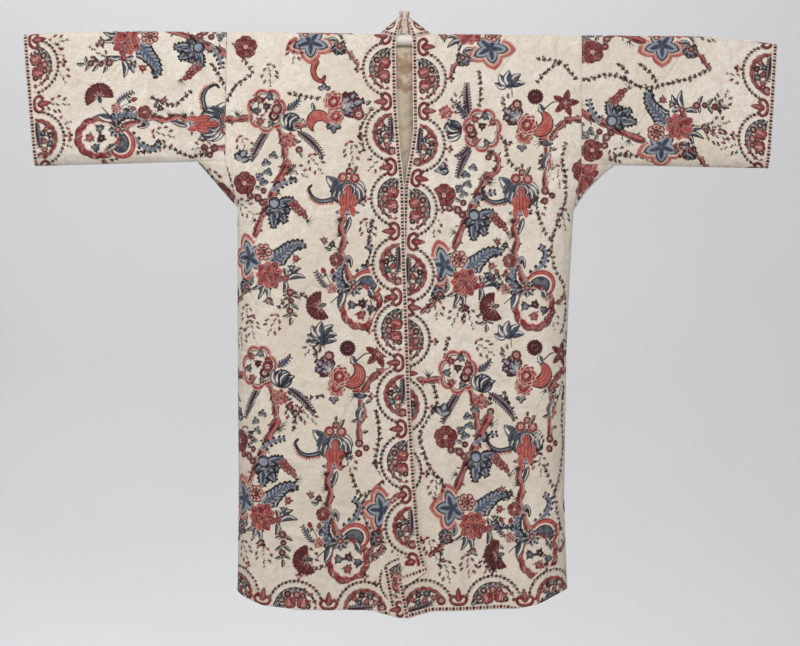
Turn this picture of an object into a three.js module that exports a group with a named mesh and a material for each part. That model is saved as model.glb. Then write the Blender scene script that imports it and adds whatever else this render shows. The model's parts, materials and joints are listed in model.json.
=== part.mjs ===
// Banyan: a loose T-shaped gown of printed cotton, hung through its sleeves on a plain rod.
// Millimetres, +Z up. The front faces -Y and +X is on the right of someone who looks at it.
// The origin is the middle of the rod.
//
// Each face of the cloth, front and back, is a skin over the XZ plane: at a place (x, z) it
// stands some depth from the middle plane y = 0, and it rounds off to y = 0 along the outline,
// where it folds into the other face. Every piece is cut from these two skins, so its edges
// meet its neighbours' edges.
import * as THREE from 'three';

// ---------------------------------------------------------------- driving dimensions
const WALL = 2;                 // thickness of the cloth
const SEAM = 0.36;              // gap between two pieces that are sewn together
// The right front lies this far behind the left one. It is tucked in over a strip past the
// left one's free edge, and from a level below which it is tucked in fully.
const UNDERLAP = { depth: 7, strip: 75, easing: 55, top: -110, fall: 120 };
const SLOPE_STEP = 0.5;         // the skin's slopes are taken over this far to both sides

const ROD = { radius: 12, halfLength: 620, sides: 24, clearance: 0.8 };
const TOP_RADIUS = ROD.radius + ROD.clearance + WALL;   // cloth folded over the rod, outside

const DEPTH = {                 // half-depths of the hanging cloth, front or back of y = 0
  body: 60, bodyFall: 260,      // reached below the rod at this rate
  sleeve: 24, sleeveFall: 90,
  blendFrom: 300, blendTo: 470, // body to sleeve, out from the middle
};
const EDGE_RADIUS = { body: 75, sleeve: 40 };   // width of the rounding along the outline

const GUSSET = { top: -271, foot: -372, steps: 6 };
const CORNER_STEP = { top: -1159, foot: -1181 }; // where the left front is notched back
const HEM = -1250;              // nominal, before the hem's own line is taken in

const NECK = { halfWidth: 57, backShare: 0.82 };
const COLLAR = {
  halfWidth: 10, halfDepth: 8,            // its closed-up top edge, as an oval
  middle: { x: -3, y: 1 },                // where that oval stands
  height: 65, rise: 3,                    // the top edge is higher at the back
  closedAt: 0.75,                         // share of its height where it has closed up
  slitAngle: 52, columns: 20, rows: 6,
};

// The two sides of the gown, measured outwards from the middle.
const SIDES = {
  left: { sign: -1, armhole: 392, gussetTip: 457, gussetSag: 0, cuffTop: 840, cuffFoot: 812,
    sleeveFoot: -284, droop: 10 },
  right: { sign: 1, armhole: 387, gussetTip: 465, gussetSag: 8, cuffTop: 817, cuffFoot: 800,
    sleeveFoot: -275, droop: 16 },
};

// Half-width of the body down each side seam.
const SIDE_SEAM = [
  { z: GUSSET.foot, left: 366, right: 373 },
  { z: -520, left: 365, right: 366 },
  { z: -690, left: 363, right: 360 },
  { z: -1000, left: 358, right: 358 },
  { z: -1240, left: 359, right: 368 },
  { z: -1500, left: 359, right: 368 },
];

// Free edges of the two fronts: x at each height.
const FRONT_EDGES = [
  { z: 20, left: -18, right: 14 },
  { z: -20, left: -21, right: 15 },
  { z: -130, left: -18, right: 17 },
  { z: -200, left: -13, right: 19 },
  { z: -245, left: -9, right: 13 },
  { z: -322, left: 0, right: 0 },
  { z: -460, left: 4, right: -4 },
  { z: -570, left: 9, right: -10 },
  { z: -790, left: 18, right: -20 },
  { z: -965, left: 30, right: -32 },
  { z: -1100, left: 42, right: -44 },
  { z: CORNER_STEP.top, left: 57, right: -50 },
  { z: CORNER_STEP.foot, left: 4, right: -51 },
  { z: HEM, left: 20, right: -54 },
];

// The hem, which is turned up towards the side seams and dips where the fronts cross.
const HEM_LINE = [
  { x: -365, front: -1208, back: -1208 },
  { x: -345, front: -1221, back: -1221 },
  { x: -300, front: -1238, back: -1234 },
  { x: -220, front: -1247, back: -1241 },
  { x: -60, front: -1248, back: -1245 },
  { x: -8, front: -1262, back: -1246 },
  { x: 20, front: -1264, back: -1246 },
  { x: 45, front: -1256, back: -1246 },
  { x: 70, front: -1249, back: -1245 },
  { x: 150, front: -1246, back: -1243 },
  { x: 256, front: -1240, back: -1238 },
  { x: 300, front: -1230, back: -1229 },
  { x: 335, front: -1213, back: -1213 },
  { x: 373, front: -1198, back: -1198 },
];

// The largest soft folds. Each runs from (x, top) to (toX, bottom), spread over width to both
// sides, and stands out from the skin by height, or sinks in where that is negative.
const FOLDS = [
  { face: 'front', x: -88, top: -700, toX: -96, bottom: -1330, width: 34, height: -11 },
  { face: 'front', x: -24, top: -520, toX: -14, bottom: -1330, width: 34, height: 8 },
  { face: 'front', x: 74, top: -640, toX: 92, bottom: -1330, width: 36, height: 7 },
  { face: 'front', x: -205, top: -820, toX: -214, bottom: -1330, width: 55, height: 6 },
  { face: 'front', x: 196, top: -760, toX: 214, bottom: -1330, width: 50, height: -7 },
  { face: 'front', x: 268, top: -940, toX: 282, bottom: -1330, width: 36, height: 5 },
  { face: 'front', x: -262, top: -150, toX: -330, bottom: -520, width: 42, height: -5 },
  { face: 'front', x: 258, top: -140, toX: 332, bottom: -500, width: 40, height: -5 },
  { face: 'front', x: -600, top: -60, toX: -470, bottom: -300, width: 46, height: -3 },
  { face: 'front', x: 610, top: -70, toX: 480, bottom: -300, width: 42, height: -3 },
  { face: 'back', x: -150, top: -420, toX: -176, bottom: -1330, width: 52, height: -10 },
  { face: 'back', x: -30, top: -330, toX: -48, bottom: -1330, width: 48, height: 8 },
  { face: 'back', x: 84, top: -560, toX: 98, bottom: -1330, width: 44, height: -9 },
  { face: 'back', x: 204, top: -460, toX: 232, bottom: -1330, width: 50, height: 7 },
  { face: 'back', x: 270, top: -150, toX: 340, bottom: -540, width: 44, height: -5 },
  { face: 'back', x: -255, top: -160, toX: -326, bottom: -500, width: 40, height: -5 },
  { face: 'back', x: -640, top: -50, toX: -500, bottom: -300, width: 50, height: -3 },
  { face: 'back', x: 590, top: -60, toX: 470, bottom: -290, width: 44, height: -3 },
];
const FOLD_FADE = 0.22;         // share of a fold's length over which each end dies away

// Rows and columns of the grids.
const RIDGE_ROWS = 4;           // over the rod, from the shoulder seam to the level of its axis
const YOKE_ROWS = 7;            // from there to the gusset
const SKIRT_ROWS = 10;          // from the gusset's foot to the notch
const CORNER_ROWS = 2;          // below the notch
const NECK_COLUMNS = 5;
const PANEL_COLUMNS = 8;
const BACK_COLUMNS = 6;
const ROUND_COLUMNS = 5;        // round the outline
const SLEEVE_ROWS = 7;          // along the sleeve past the gusset
const SLEEVE_COLUMNS = 5;       // down the sleeve, between its two roundings

const CLOTH = new THREE.MeshStandardMaterial({ color: 0xdccfbf, roughness: 0.85, metalness: 0 });
const BAND_CLOTH = new THREE.MeshStandardMaterial({ color: 0xd0c3a8, roughness: 0.9, metalness: 0 });
const WOOD = new THREE.MeshStandardMaterial({ color: 0xe6e2d8, roughness: 0.6, metalness: 0 });

// ---------------------------------------------------------------- small helpers
const mix = (a, b, share) => a + (b - a) * share;
const clamp = (value) => Math.min(1, Math.max(0, value));
const ease = (value) => clamp(value) ** 2 * (3 - 2 * clamp(value));
const sideOf = (x) => (x < 0 ? SIDES.left : SIDES.right);
const sideName = (x) => (x < 0 ? 'left' : 'right');
const quarter = (share) => (share * Math.PI) / 2;

// A table's column at a value of its key, straight between rows.
function lookUp(table, key, value, column) {
  const rising = table[0][key] < table[table.length - 1][key];
  const rows = rising ? table : [...table].reverse();
  const after = rows.findIndex((row) => row[key] >= value);
  if (after <= 0) return after === 0 ? rows[0][column] : rows[rows.length - 1][column];
  const [low, high] = [rows[after - 1], rows[after]];
  return mix(low[column], high[column], (value - low[key]) / (high[key] - low[key]));
}

// Places from one value to another, both ends included.
const spread = (from, to, steps) => Array.from({ length: steps + 1 }, (_, i) => mix(from, to, i / steps));

// ---------------------------------------------------------------- the two skins
// Top of the cloth: level over the rod, and drooping past the rod's ends.
function topLine(x) {
  const { cuffTop, droop } = sideOf(x);
  const past = (Math.abs(x) - ROD.halfLength) / (cuffTop - ROD.halfLength);
  return TOP_RADIUS - droop * clamp(past) ** 1.5;
}

// A place on half of a folded gusset, by its shares of the way from the corner at the foot of
// the armhole out to the sleeve's seam end and down to the side seam. The fold hangs inwards.
function gussetPlace(name, out, low, trim = 0) {
  const side = SIDES[name];
  const [{ [name]: footX }] = SIDE_SEAM;
  const corner = [side.armhole + trim / 2, GUSSET.top - trim];
  const outEnd = [side.gussetTip - 3 * trim, GUSSET.top - trim];
  const lowEnd = [footX + 3 * trim, GUSSET.foot + 3 * trim];
  const sag = (4 * out * low * side.gussetSag) / Math.hypot(side.gussetTip - footX, GUSSET.foot - GUSSET.top);
  return [
    corner[0] + out * (outEnd[0] - corner[0]) + low * (lowEnd[0] - corner[0]) + sag * (GUSSET.foot - GUSSET.top),
    corner[1] + out * (outEnd[1] - corner[1]) + low * (lowEnd[1] - corner[1]) + sag * (side.gussetTip - footX),
  ];
}

// The lower outline of one side: under the sleeve, down the gusset's fold and the side seam.
function outline(name) {
  const side = SIDES[name];
  const sleeveSlope = (side.sleeveFoot - GUSSET.top) / (side.cuffFoot - side.gussetTip);
  const beyond = 200;
  const foldAt = (share) => gussetPlace(name, 1 - share, share);
  return [
    [side.cuffFoot + beyond, side.sleeveFoot + beyond * sleeveSlope],
    ...[0, 0.25, 0.5, 0.75].map(foldAt),
    ...SIDE_SEAM.map((row) => [row[name], row.z]),
  ];
}
const OUTLINES = { left: outline('left'), right: outline('right') };

// Distance in from that outline, negative outside it.
function insideBy(x, z) {
  const corners = OUTLINES[sideName(x)];
  let nearest = Infinity;
  let signed = 0;
  for (let i = 1; i < corners.length; i += 1) {
    const [ax, az] = corners[i - 1];
    const [bx, bz] = corners[i];
    const [ex, ez] = [bx - ax, bz - az];
    const [px, pz] = [Math.abs(x) - ax, z - az];
    const along = clamp((px * ex + pz * ez) / (ex * ex + ez * ez));
    const gap = Math.hypot(px - along * ex, pz - along * ez);
    if (gap < nearest) {
      nearest = gap;
      signed = (px * ez > pz * ex ? gap : -gap);
    }
  }
  return signed;
}

const sleeveShare = (x) => ease((Math.abs(x) - DEPTH.blendFrom) / (DEPTH.blendTo - DEPTH.blendFrom));

// 0 on the flat of the skin, 1 on the outline, more beyond it.
function rounding(x, z) {
  const overRod = 1 - (topLine(x) - z) / TOP_RADIUS;
  const atEdge = 1 - insideBy(x, z) / mix(EDGE_RADIUS.body, EDGE_RADIUS.sleeve, sleeveShare(x));
  return Math.max(0, overRod, atEdge);
}

function foldHeight(face, x, z) {
  let sum = 0;
  for (const fold of FOLDS) {
    const along = (fold.top - z) / (fold.top - fold.bottom);
    if (fold.face === face && along > 0 && along < 1) {
      const across = (x - mix(fold.x, fold.toX, along)) / fold.width;
      const fade = ease(along / FOLD_FADE) * ease((1 - along) / FOLD_FADE);
      sum += fold.height * Math.exp(-across * across) * fade;
    }
  }
  return sum;
}

// How far the right front is tucked behind the left one, beside the notch too.
function tuck(x, z) {
  const pastEdge = x - lookUp(FRONT_EDGES, 'z', Math.max(z, CORNER_STEP.top), 'left');
  const beside = ease((UNDERLAP.strip - pastEdge) / UNDERLAP.easing);
  return UNDERLAP.depth * beside * ease((UNDERLAP.top - z) / UNDERLAP.fall);
}

// Depth of the flat of a skin. A face is front, back, or under for the right front.
function depth(face, x, z) {
  const below = Math.max(0, topLine(x) - TOP_RADIUS - z);
  const body = mix(TOP_RADIUS, DEPTH.body, 1 - Math.exp(-below / DEPTH.bodyFall));
  const sleeve = mix(TOP_RADIUS, DEPTH.sleeve, 1 - Math.exp(-below / DEPTH.sleeveFall));
  const plain = mix(body, sleeve, sleeveShare(x));
  if (face === 'under') return plain + foldHeight('front', x, z) - tuck(x, z);
  return plain + foldHeight(face, x, z);
}

// A point of a skin and the way out of the cloth there. On a seam along the outline the two
// faces stop half a seam short of each other.
function skin(face, x, z, onSeam = false) {
  const sign = face === 'back' ? 1 : -1;
  const full = depth(face, x, z);
  const round = rounding(x, z);
  const stand = full * Math.sqrt(Math.max(0, 1 - round * round));
  const y = sign * (onSeam ? SEAM / 2 : Math.max(SEAM / 2, stand));
  const slopes = (of) => [
    (of(x + SLOPE_STEP, z) - of(x - SLOPE_STEP, z)) / (2 * SLOPE_STEP),
    (of(x, z + SLOPE_STEP) - of(x, z - SLOPE_STEP)) / (2 * SLOPE_STEP),
  ];
  const [roundX, roundZ] = slopes(rounding);
  const [deepX, deepZ] = slopes((atX, atZ) => depth(face, atX, atZ));
  const lean = (y * y) / full ** 3;
  const out = new THREE.Vector3(round * roundX - lean * deepX, y / full ** 2, round * roundZ - lean * deepZ);
  return { at: new THREE.Vector3(x, y, z), out: out.normalize() };
}

// ---------------------------------------------------------------- walls from grids
// A closed wall from a grid of outer points with their ways out.
function wall(name, grid, material) {
  const rows = grid.length;
  const columns = grid[0].length;
  const flat = grid.flat();
  const inner = flat.map(({ at, out }) => at.clone().addScaledVector(out, -WALL));
  const positions = [...flat.map(({ at }) => at), ...inner].flatMap((p) => p.toArray());
  const outer = (i, j) => i * columns + j;
  const behind = (vertex) => vertex + rows * columns;

  const across = flat[1].at.clone().sub(flat[0].at);
  const down = flat[columns].at.clone().sub(flat[0].at);
  const facesOut = across.cross(down).dot(flat[0].out) > 0;
  const index = [];
  const triangle = (a, b, c) => index.push(...(facesOut ? [a, b, c] : [a, c, b]));

  for (let i = 0; i + 1 < rows; i += 1) {
    for (let j = 0; j + 1 < columns; j += 1) {
      const [a, b, c, d] = [outer(i, j), outer(i, j + 1), outer(i + 1, j + 1), outer(i + 1, j)];
      triangle(a, b, c);
      triangle(a, c, d);
      triangle(behind(a), behind(c), behind(b));
      triangle(behind(a), behind(d), behind(c));
    }
  }
  const last = { row: rows - 1, column: columns - 1 };
  const rim = [
    ...Array.from({ length: last.column }, (_, j) => outer(0, j)),
    ...Array.from({ length: last.row }, (_, i) => outer(i, last.column)),
    ...Array.from({ length: last.column }, (_, j) => outer(last.row, last.column - j)),
    ...Array.from({ length: last.row }, (_, i) => outer(last.row - i, 0)),
  ];
  rim.forEach((from, k) => {
    const to = rim[(k + 1) % rim.length];
    triangle(from, behind(from), behind(to));
    triangle(from, behind(to), to);
  });

  const geometry = new THREE.BufferGeometry();
  geometry.setAttribute('position', new THREE.Float32BufferAttribute(positions, 3));
  geometry.setIndex(index);
  geometry.computeVertexNormals();
  const mesh = new THREE.Mesh(geometry, material);
  mesh.name = name;
  return mesh;
}

// ---------------------------------------------------------------- fronts and back
// Shares of the gusset's seams, closer together towards the ends where it narrows.
const GUSSET_SHARES = spread(0, 1, GUSSET.steps).map((share) => Math.sin(quarter(share)));

// Levels of the body's rows below the rod's axis, down to the hem.
const LEVELS = [
  ...spread(0, GUSSET.top, YOKE_ROWS).slice(1),
  ...GUSSET_SHARES.slice(1).map((share) => mix(GUSSET.top, GUSSET.foot, share)),
  ...spread(GUSSET.foot, CORNER_STEP.top, SKIRT_ROWS).slice(1),
  ...spread(CORNER_STEP.foot, HEM, CORNER_ROWS),
];

// Height of a level at x: below the gussets the rows are stretched to end on the hem's line.
function levelAt(level, x, face) {
  if (level >= GUSSET.foot) return level;
  const hem = lookUp(HEM_LINE, 'x', x, face === 'back' ? 'back' : 'front');
  return mix(GUSSET.foot, hem, (level - GUSSET.foot) / (HEM - GUSSET.foot));
}

// The outer edge of the body's pieces on one side: armhole, gusset's seam, then side seam.
function bodyEdge(name, level) {
  const { armhole } = SIDES[name];
  const [{ [name]: footX }] = SIDE_SEAM;
  if (level >= GUSSET.top) return armhole - SEAM / 2;
  if (level > GUSSET.foot) {
    return mix(armhole, footX, (level - GUSSET.top) / (GUSSET.foot - GUSSET.top)) - SEAM / 2;
  }
  const nominal = lookUp(SIDE_SEAM, 'z', level, name);
  return lookUp(SIDE_SEAM, 'z', levelAt(level, SIDES[name].sign * nominal, 'front'), name);
}

// Angle down from the ridge at which the neck is cut, an oval from above; 0 outside the neck.
function neckAngle(face, x) {
  const half = Math.sqrt(Math.max(0, 1 - (x / NECK.halfWidth) ** 2));
  return Math.asin(face === 'back' ? NECK.backShare * half : half);
}

// One row of a body piece at the given places.
function ridgeRow(face, places, share) {
  return places.map((x) => {
    const angle = mix(neckAngle(face, x), quarter(1), share);
    return skin(face, x, topLine(x) - TOP_RADIUS * (1 - Math.cos(angle)));
  });
}

function levelRow(face, places, level) {
  const lastX = places.length - 1;
  return places.map((x, j) => {
    const onSeam = level <= GUSSET.foot && (j === lastX || (face === 'back' && j === 0));
    return skin(face, x, levelAt(level, x, face), onSeam);
  });
}

// Places from a start out to one side: through the neck, the panel and the rounding.
function placesOut(name, start, level, panelColumns) {
  const { sign } = SIDES[name];
  const edge = bodyEdge(name, level);
  const flatEnd = edge - EDGE_RADIUS.body;
  const neck = spread(0, 1, NECK_COLUMNS).map((share) => {
    return mix(start, sign * NECK.halfWidth, Math.sin(quarter(share)));
  });
  const panel = spread(NECK.halfWidth, flatEnd, panelColumns).slice(1).map((x) => sign * x);
  const round = spread(0, 1, ROUND_COLUMNS).slice(1).map((share) => {
    return sign * mix(flatEnd, edge, Math.sin(quarter(share)));
  });
  return [...neck, ...panel, ...round];
}

function bodyGrid(face, placesAt) {
  return [
    ...spread(0, 1, RIDGE_ROWS).map((share) => ridgeRow(face, placesAt(0), share)),
    ...LEVELS.map((level) => levelRow(face, placesAt(level), level)),
  ];
}

function frontPanel(name, face) {
  const placesAt = (level) => {
    return placesOut(name, lookUp(FRONT_EDGES, 'z', level, name), level, PANEL_COLUMNS);
  };
  return wall(`${name}_front`, bodyGrid(face, placesAt), CLOTH);
}

function backPanel() {
  const placesAt = (level) => [
    ...placesOut('left', 0, level, BACK_COLUMNS).reverse(),
    ...placesOut('right', 0, level, BACK_COLUMNS).slice(1),
  ];
  return wall('back', bodyGrid('back', placesAt), CLOTH);
}

// ---------------------------------------------------------------- sleeves and gussets
// One ring of a sleeve, from its edge at the back over the rod to its edge in front. reach
// gives x at a height, so the last ring follows the slanted cuff.
function sleeveRing(name, reach) {
  const side = SIDES[name];
  const half = (face) => {
    const topX = side.sign * reach(TOP_RADIUS);
    const footX = reach(GUSSET.top);
    const closed = footX >= side.gussetTip;
    const past = Math.max(0, footX - side.gussetTip) / (side.cuffFoot - side.gussetTip);
    const foot = mix(GUSSET.top, side.sleeveFoot, past);
    const axis = topLine(topX) - TOP_RADIUS;
    const heights = [
      ...spread(0, 1, RIDGE_ROWS).map((share) => axis + TOP_RADIUS * Math.cos(quarter(share))),
      ...spread(axis, foot + EDGE_RADIUS.sleeve, SLEEVE_COLUMNS).slice(1),
      ...spread(0, 1, ROUND_COLUMNS).slice(1).map((share) => {
        return foot + EDGE_RADIUS.sleeve * (1 - Math.sin(quarter(share)));
      }),
    ];
    return heights.map((z, j) => {
      return skin(face, side.sign * reach(z), z, closed && j === heights.length - 1);
    });
  };
  const back = half('back');
  const front = half('front');
  const top = { at: front[0].at.clone().setY(0), out: new THREE.Vector3(0, 0, 1) };
  return [...back.slice(1).reverse(), top, ...front.slice(1)];
}

function sleeve(name) {
  const side = SIDES[name];
  const cuffAt = (z) => mix(side.cuffTop, side.cuffFoot, (TOP_RADIUS - z) / (TOP_RADIUS - side.sleeveFoot));
  const start = side.armhole + SEAM / 2;
  const atGusset = GUSSET_SHARES.map((share) => sleeveRing(name, () => mix(start, side.gussetTip, share)));
  const pastGusset = spread(0, 1, SLEEVE_ROWS).slice(1).map((share) => {
    return sleeveRing(name, (z) => mix(side.gussetTip, cuffAt(z), share));
  });
  return wall(`${name}_sleeve`, [...atGusset, ...pastGusset], CLOTH);
}

// A square folded on its diagonal: one corner in front at the armhole's foot, the same corner
// at the back, and between them the fold from the sleeve's seam down to the side seam.
function gusset(name) {
  const { steps } = GUSSET;
  const grid = spread(0, steps, steps).map((i) => spread(0, steps, steps).map((j) => {
    const front = i + j <= steps;
    const [out, low] = front ? [i, j] : [steps - j, steps - i];
    const reach = (out + low) / steps;
    const widen = reach > 0 ? Math.sin(quarter(reach)) / reach / steps : 0;
    const [x, z] = gussetPlace(name, widen * out, widen * low, SEAM);
    const point = skin(front ? 'front' : 'back', SIDES[name].sign * x, z);
    if (i + j === steps) {
      point.at.setY(0);
      point.out.setY(0).normalize();
    }
    return point;
  }));
  return wall(`${name}_gusset`, grid, CLOTH);
}

// ---------------------------------------------------------------- collar
// A stand-up band round the neck whose top has closed up. share runs from one free edge (-1)
// round the back (0) to the other (1), and height from the neck seam (0) to the top edge (1).
function collarPoint(share, height) {
  const name = share < 0 ? 'left' : 'right';
  const { sign } = SIDES[name];
  const slitX = Math.abs(lookUp(FRONT_EDGES, 'z', 0, name));
  const startAngle = Math.asin(slitX / NECK.halfWidth);
  const round = mix(Math.PI, startAngle, Math.abs(share));
  const x = NECK.halfWidth * Math.sin(round);
  const sine = Math.abs(Math.cos(round)) * (Math.cos(round) < 0 ? NECK.backShare : 1);
  const base = new THREE.Vector3(sign * x, -Math.sign(Math.cos(round)) * TOP_RADIUS * sine,
    TOP_RADIUS * Math.sqrt(1 - sine * sine));
  const turn = mix(Math.PI, THREE.MathUtils.degToRad(COLLAR.slitAngle), Math.abs(share));
  const top = new THREE.Vector3(COLLAR.middle.x + sign * COLLAR.halfWidth * Math.sin(turn),
    COLLAR.middle.y - COLLAR.halfDepth * Math.cos(turn), COLLAR.height - COLLAR.rise * Math.cos(turn));
  const closed = top.clone().setZ(mix(base.z, top.z, COLLAR.closedAt));
  const up = closed.clone().sub(base).normalize();
  base.addScaledVector(up, SEAM);
  if (height < COLLAR.closedAt) return base.lerp(closed, height / COLLAR.closedAt);
  return closed.lerp(top, (height - COLLAR.closedAt) / (1 - COLLAR.closedAt));
}

function collar() {
  const step = 0.002;
  const grid = spread(0, 1, COLLAR.rows).map((height) => spread(-1, 1, COLLAR.columns).map((share) => {
    const at = collarPoint(share, height);
    const along = collarPoint(share + step, height).sub(collarPoint(share - step, height));
    const up = collarPoint(share, height + step).sub(collarPoint(share, height - step));
    return { at, out: up.cross(along).normalize() };
  }));
  return wall('collar', grid, BAND_CLOTH);
}

// ---------------------------------------------------------------- rod
function rod() {
  const shape = new THREE.CylinderGeometry(ROD.radius, ROD.radius, 2 * ROD.halfLength, ROD.sides);
  const mesh = new THREE.Mesh(shape, WOOD);
  mesh.name = 'display_rod';
  mesh.rotation.z = Math.PI / 2;
  return mesh;
}

const banyan = new THREE.Group();
banyan.add(
  frontPanel('left', 'front'),
  frontPanel('right', 'under'),
  backPanel(),
  sleeve('left'),
  sleeve('right'),
  gusset('left'),
  gusset('right'),
  collar(),
  rod(),
);
export default banyan;
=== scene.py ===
"""Banyan: a T-shaped gown of printed cotton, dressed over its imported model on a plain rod."""

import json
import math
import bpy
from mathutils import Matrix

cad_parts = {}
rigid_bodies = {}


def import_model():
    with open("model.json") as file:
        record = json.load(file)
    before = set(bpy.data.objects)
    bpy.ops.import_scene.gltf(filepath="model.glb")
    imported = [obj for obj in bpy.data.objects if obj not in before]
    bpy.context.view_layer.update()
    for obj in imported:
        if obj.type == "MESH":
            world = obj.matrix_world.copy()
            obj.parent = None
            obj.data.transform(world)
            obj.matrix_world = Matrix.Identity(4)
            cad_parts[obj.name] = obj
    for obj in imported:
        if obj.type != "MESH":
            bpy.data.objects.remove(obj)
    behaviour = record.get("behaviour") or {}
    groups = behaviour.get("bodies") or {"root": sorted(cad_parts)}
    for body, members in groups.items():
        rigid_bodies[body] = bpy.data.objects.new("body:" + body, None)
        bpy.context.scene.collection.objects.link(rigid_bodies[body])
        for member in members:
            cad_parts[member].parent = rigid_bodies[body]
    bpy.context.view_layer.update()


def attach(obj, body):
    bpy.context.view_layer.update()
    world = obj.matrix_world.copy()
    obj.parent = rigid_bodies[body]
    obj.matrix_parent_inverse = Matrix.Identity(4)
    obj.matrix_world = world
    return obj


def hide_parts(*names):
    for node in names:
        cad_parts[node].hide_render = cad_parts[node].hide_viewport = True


bl_info = {
    "name": "Banyan",
    "version": (1, 0, 0),
    "blender": (4, 5, 0),
    "location": "View3D > Sidebar > Banyan",
    "description": "Printed cotton gown on a display rod, with its seams, creases and stitches",
    "category": "Object",
}

import bpy
import mathutils
import numpy as np

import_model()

# Lengths in the tables and in the cloth's geometry are in millimetres, and become metres as a
# mesh is made. +Z is up, the gown faces -Y, and the origin is the middle of the rod.
MM = 0.001

# ---------------------------------------------------------------- sizes of the gown
SEAM = 0.36                     # gap between two pieces that are sewn together
# The right front lies this far behind the left one: it is tucked in over a strip beside the left
# one's free edge, from a level down
UNDERLAP, TUCK_STRIP, TUCK_EASING, TUCK_TOP, TUCK_FALL = 7, 75, 55, -110, 120
ROD_HALF = 620
TOP_RADIUS = 14.8               # outside of the cloth folded over the rod
BODY_DEPTH, BODY_FALL = 60, 260
SLEEVE_DEPTH, SLEEVE_FALL = 24, 90
BLEND_FROM, BLEND_TO = 300, 470
BODY_ROUND, SLEEVE_ROUND = 75, 40
GUSSET_TOP, GUSSET_FOOT = -271, -372
STEP_TOP = -1159
HEM = -1250
NECK_HALF, NECK_BACK = 57, 0.82

SIDES = {
    "left": {"sign": -1, "armhole": 392, "gusset_tip": 457, "sag": 0, "cuff_top": 840,
             "cuff_foot": 812, "sleeve_foot": -284, "droop": 10},
    "right": {"sign": 1, "armhole": 387, "gusset_tip": 465, "sag": 8, "cuff_top": 817,
              "cuff_foot": 800, "sleeve_foot": -275, "droop": 16},
}
# height, half-width at the left, at the right
SIDE_SEAM = [(-372, 366, 373), (-520, 365, 366), (-690, 363, 360), (-1000, 358, 358),
             (-1240, 359, 368), (-1500, 359, 368)]
# height, free edge of the left front, of the right front
FRONT_EDGES = [(20, -18, 14), (-20, -21, 15), (-130, -18, 17), (-200, -13, 19), (-245, -9, 13),
               (-322, 0, 0), (-460, 4, -4), (-570, 9, -10), (-790, 18, -20), (-965, 30, -32),
               (-1100, 42, -44), (-1159, 57, -50), (-1181, 4, -51), (-1250, 20, -54)]
# x, height of the hem in front, at the back
HEM_LINE = [(-365, -1208, -1208), (-345, -1221, -1221), (-300, -1238, -1234),
            (-220, -1247, -1241), (-60, -1248, -1245), (-8, -1262, -1246), (20, -1264, -1246),
            (45, -1256, -1246), (70, -1249, -1245), (150, -1246, -1243), (256, -1240, -1238),
            (300, -1230, -1229), (335, -1213, -1213), (373, -1198, -1198)]
# The largest folds: x, top, to x, foot, width, height
FOLDS = {
    "front": [(-88, -700, -96, -1330, 34, -11), (-24, -520, -14, -1330, 34, 8),
              (74, -640, 92, -1330, 36, 7), (-205, -820, -214, -1330, 55, 6),
              (196, -760, 214, -1330, 50, -7), (268, -940, 282, -1330, 36, 5),
              (-262, -150, -330, -520, 42, -5), (258, -140, 332, -500, 40, -5),
              (-600, -60, -470, -300, 46, -3), (610, -70, 480, -300, 42, -3)],
    "back": [(-150, -420, -176, -1330, 52, -10), (-30, -330, -48, -1330, 48, 8),
             (84, -560, 98, -1330, 44, -9), (204, -460, 232, -1330, 50, 7),
             (270, -150, 340, -540, 44, -5), (-255, -160, -326, -500, 40, -5),
             (-640, -50, -500, -300, 50, -3), (590, -60, 470, -290, 44, -3)],
}
FOLD_FADE = 0.22
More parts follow.
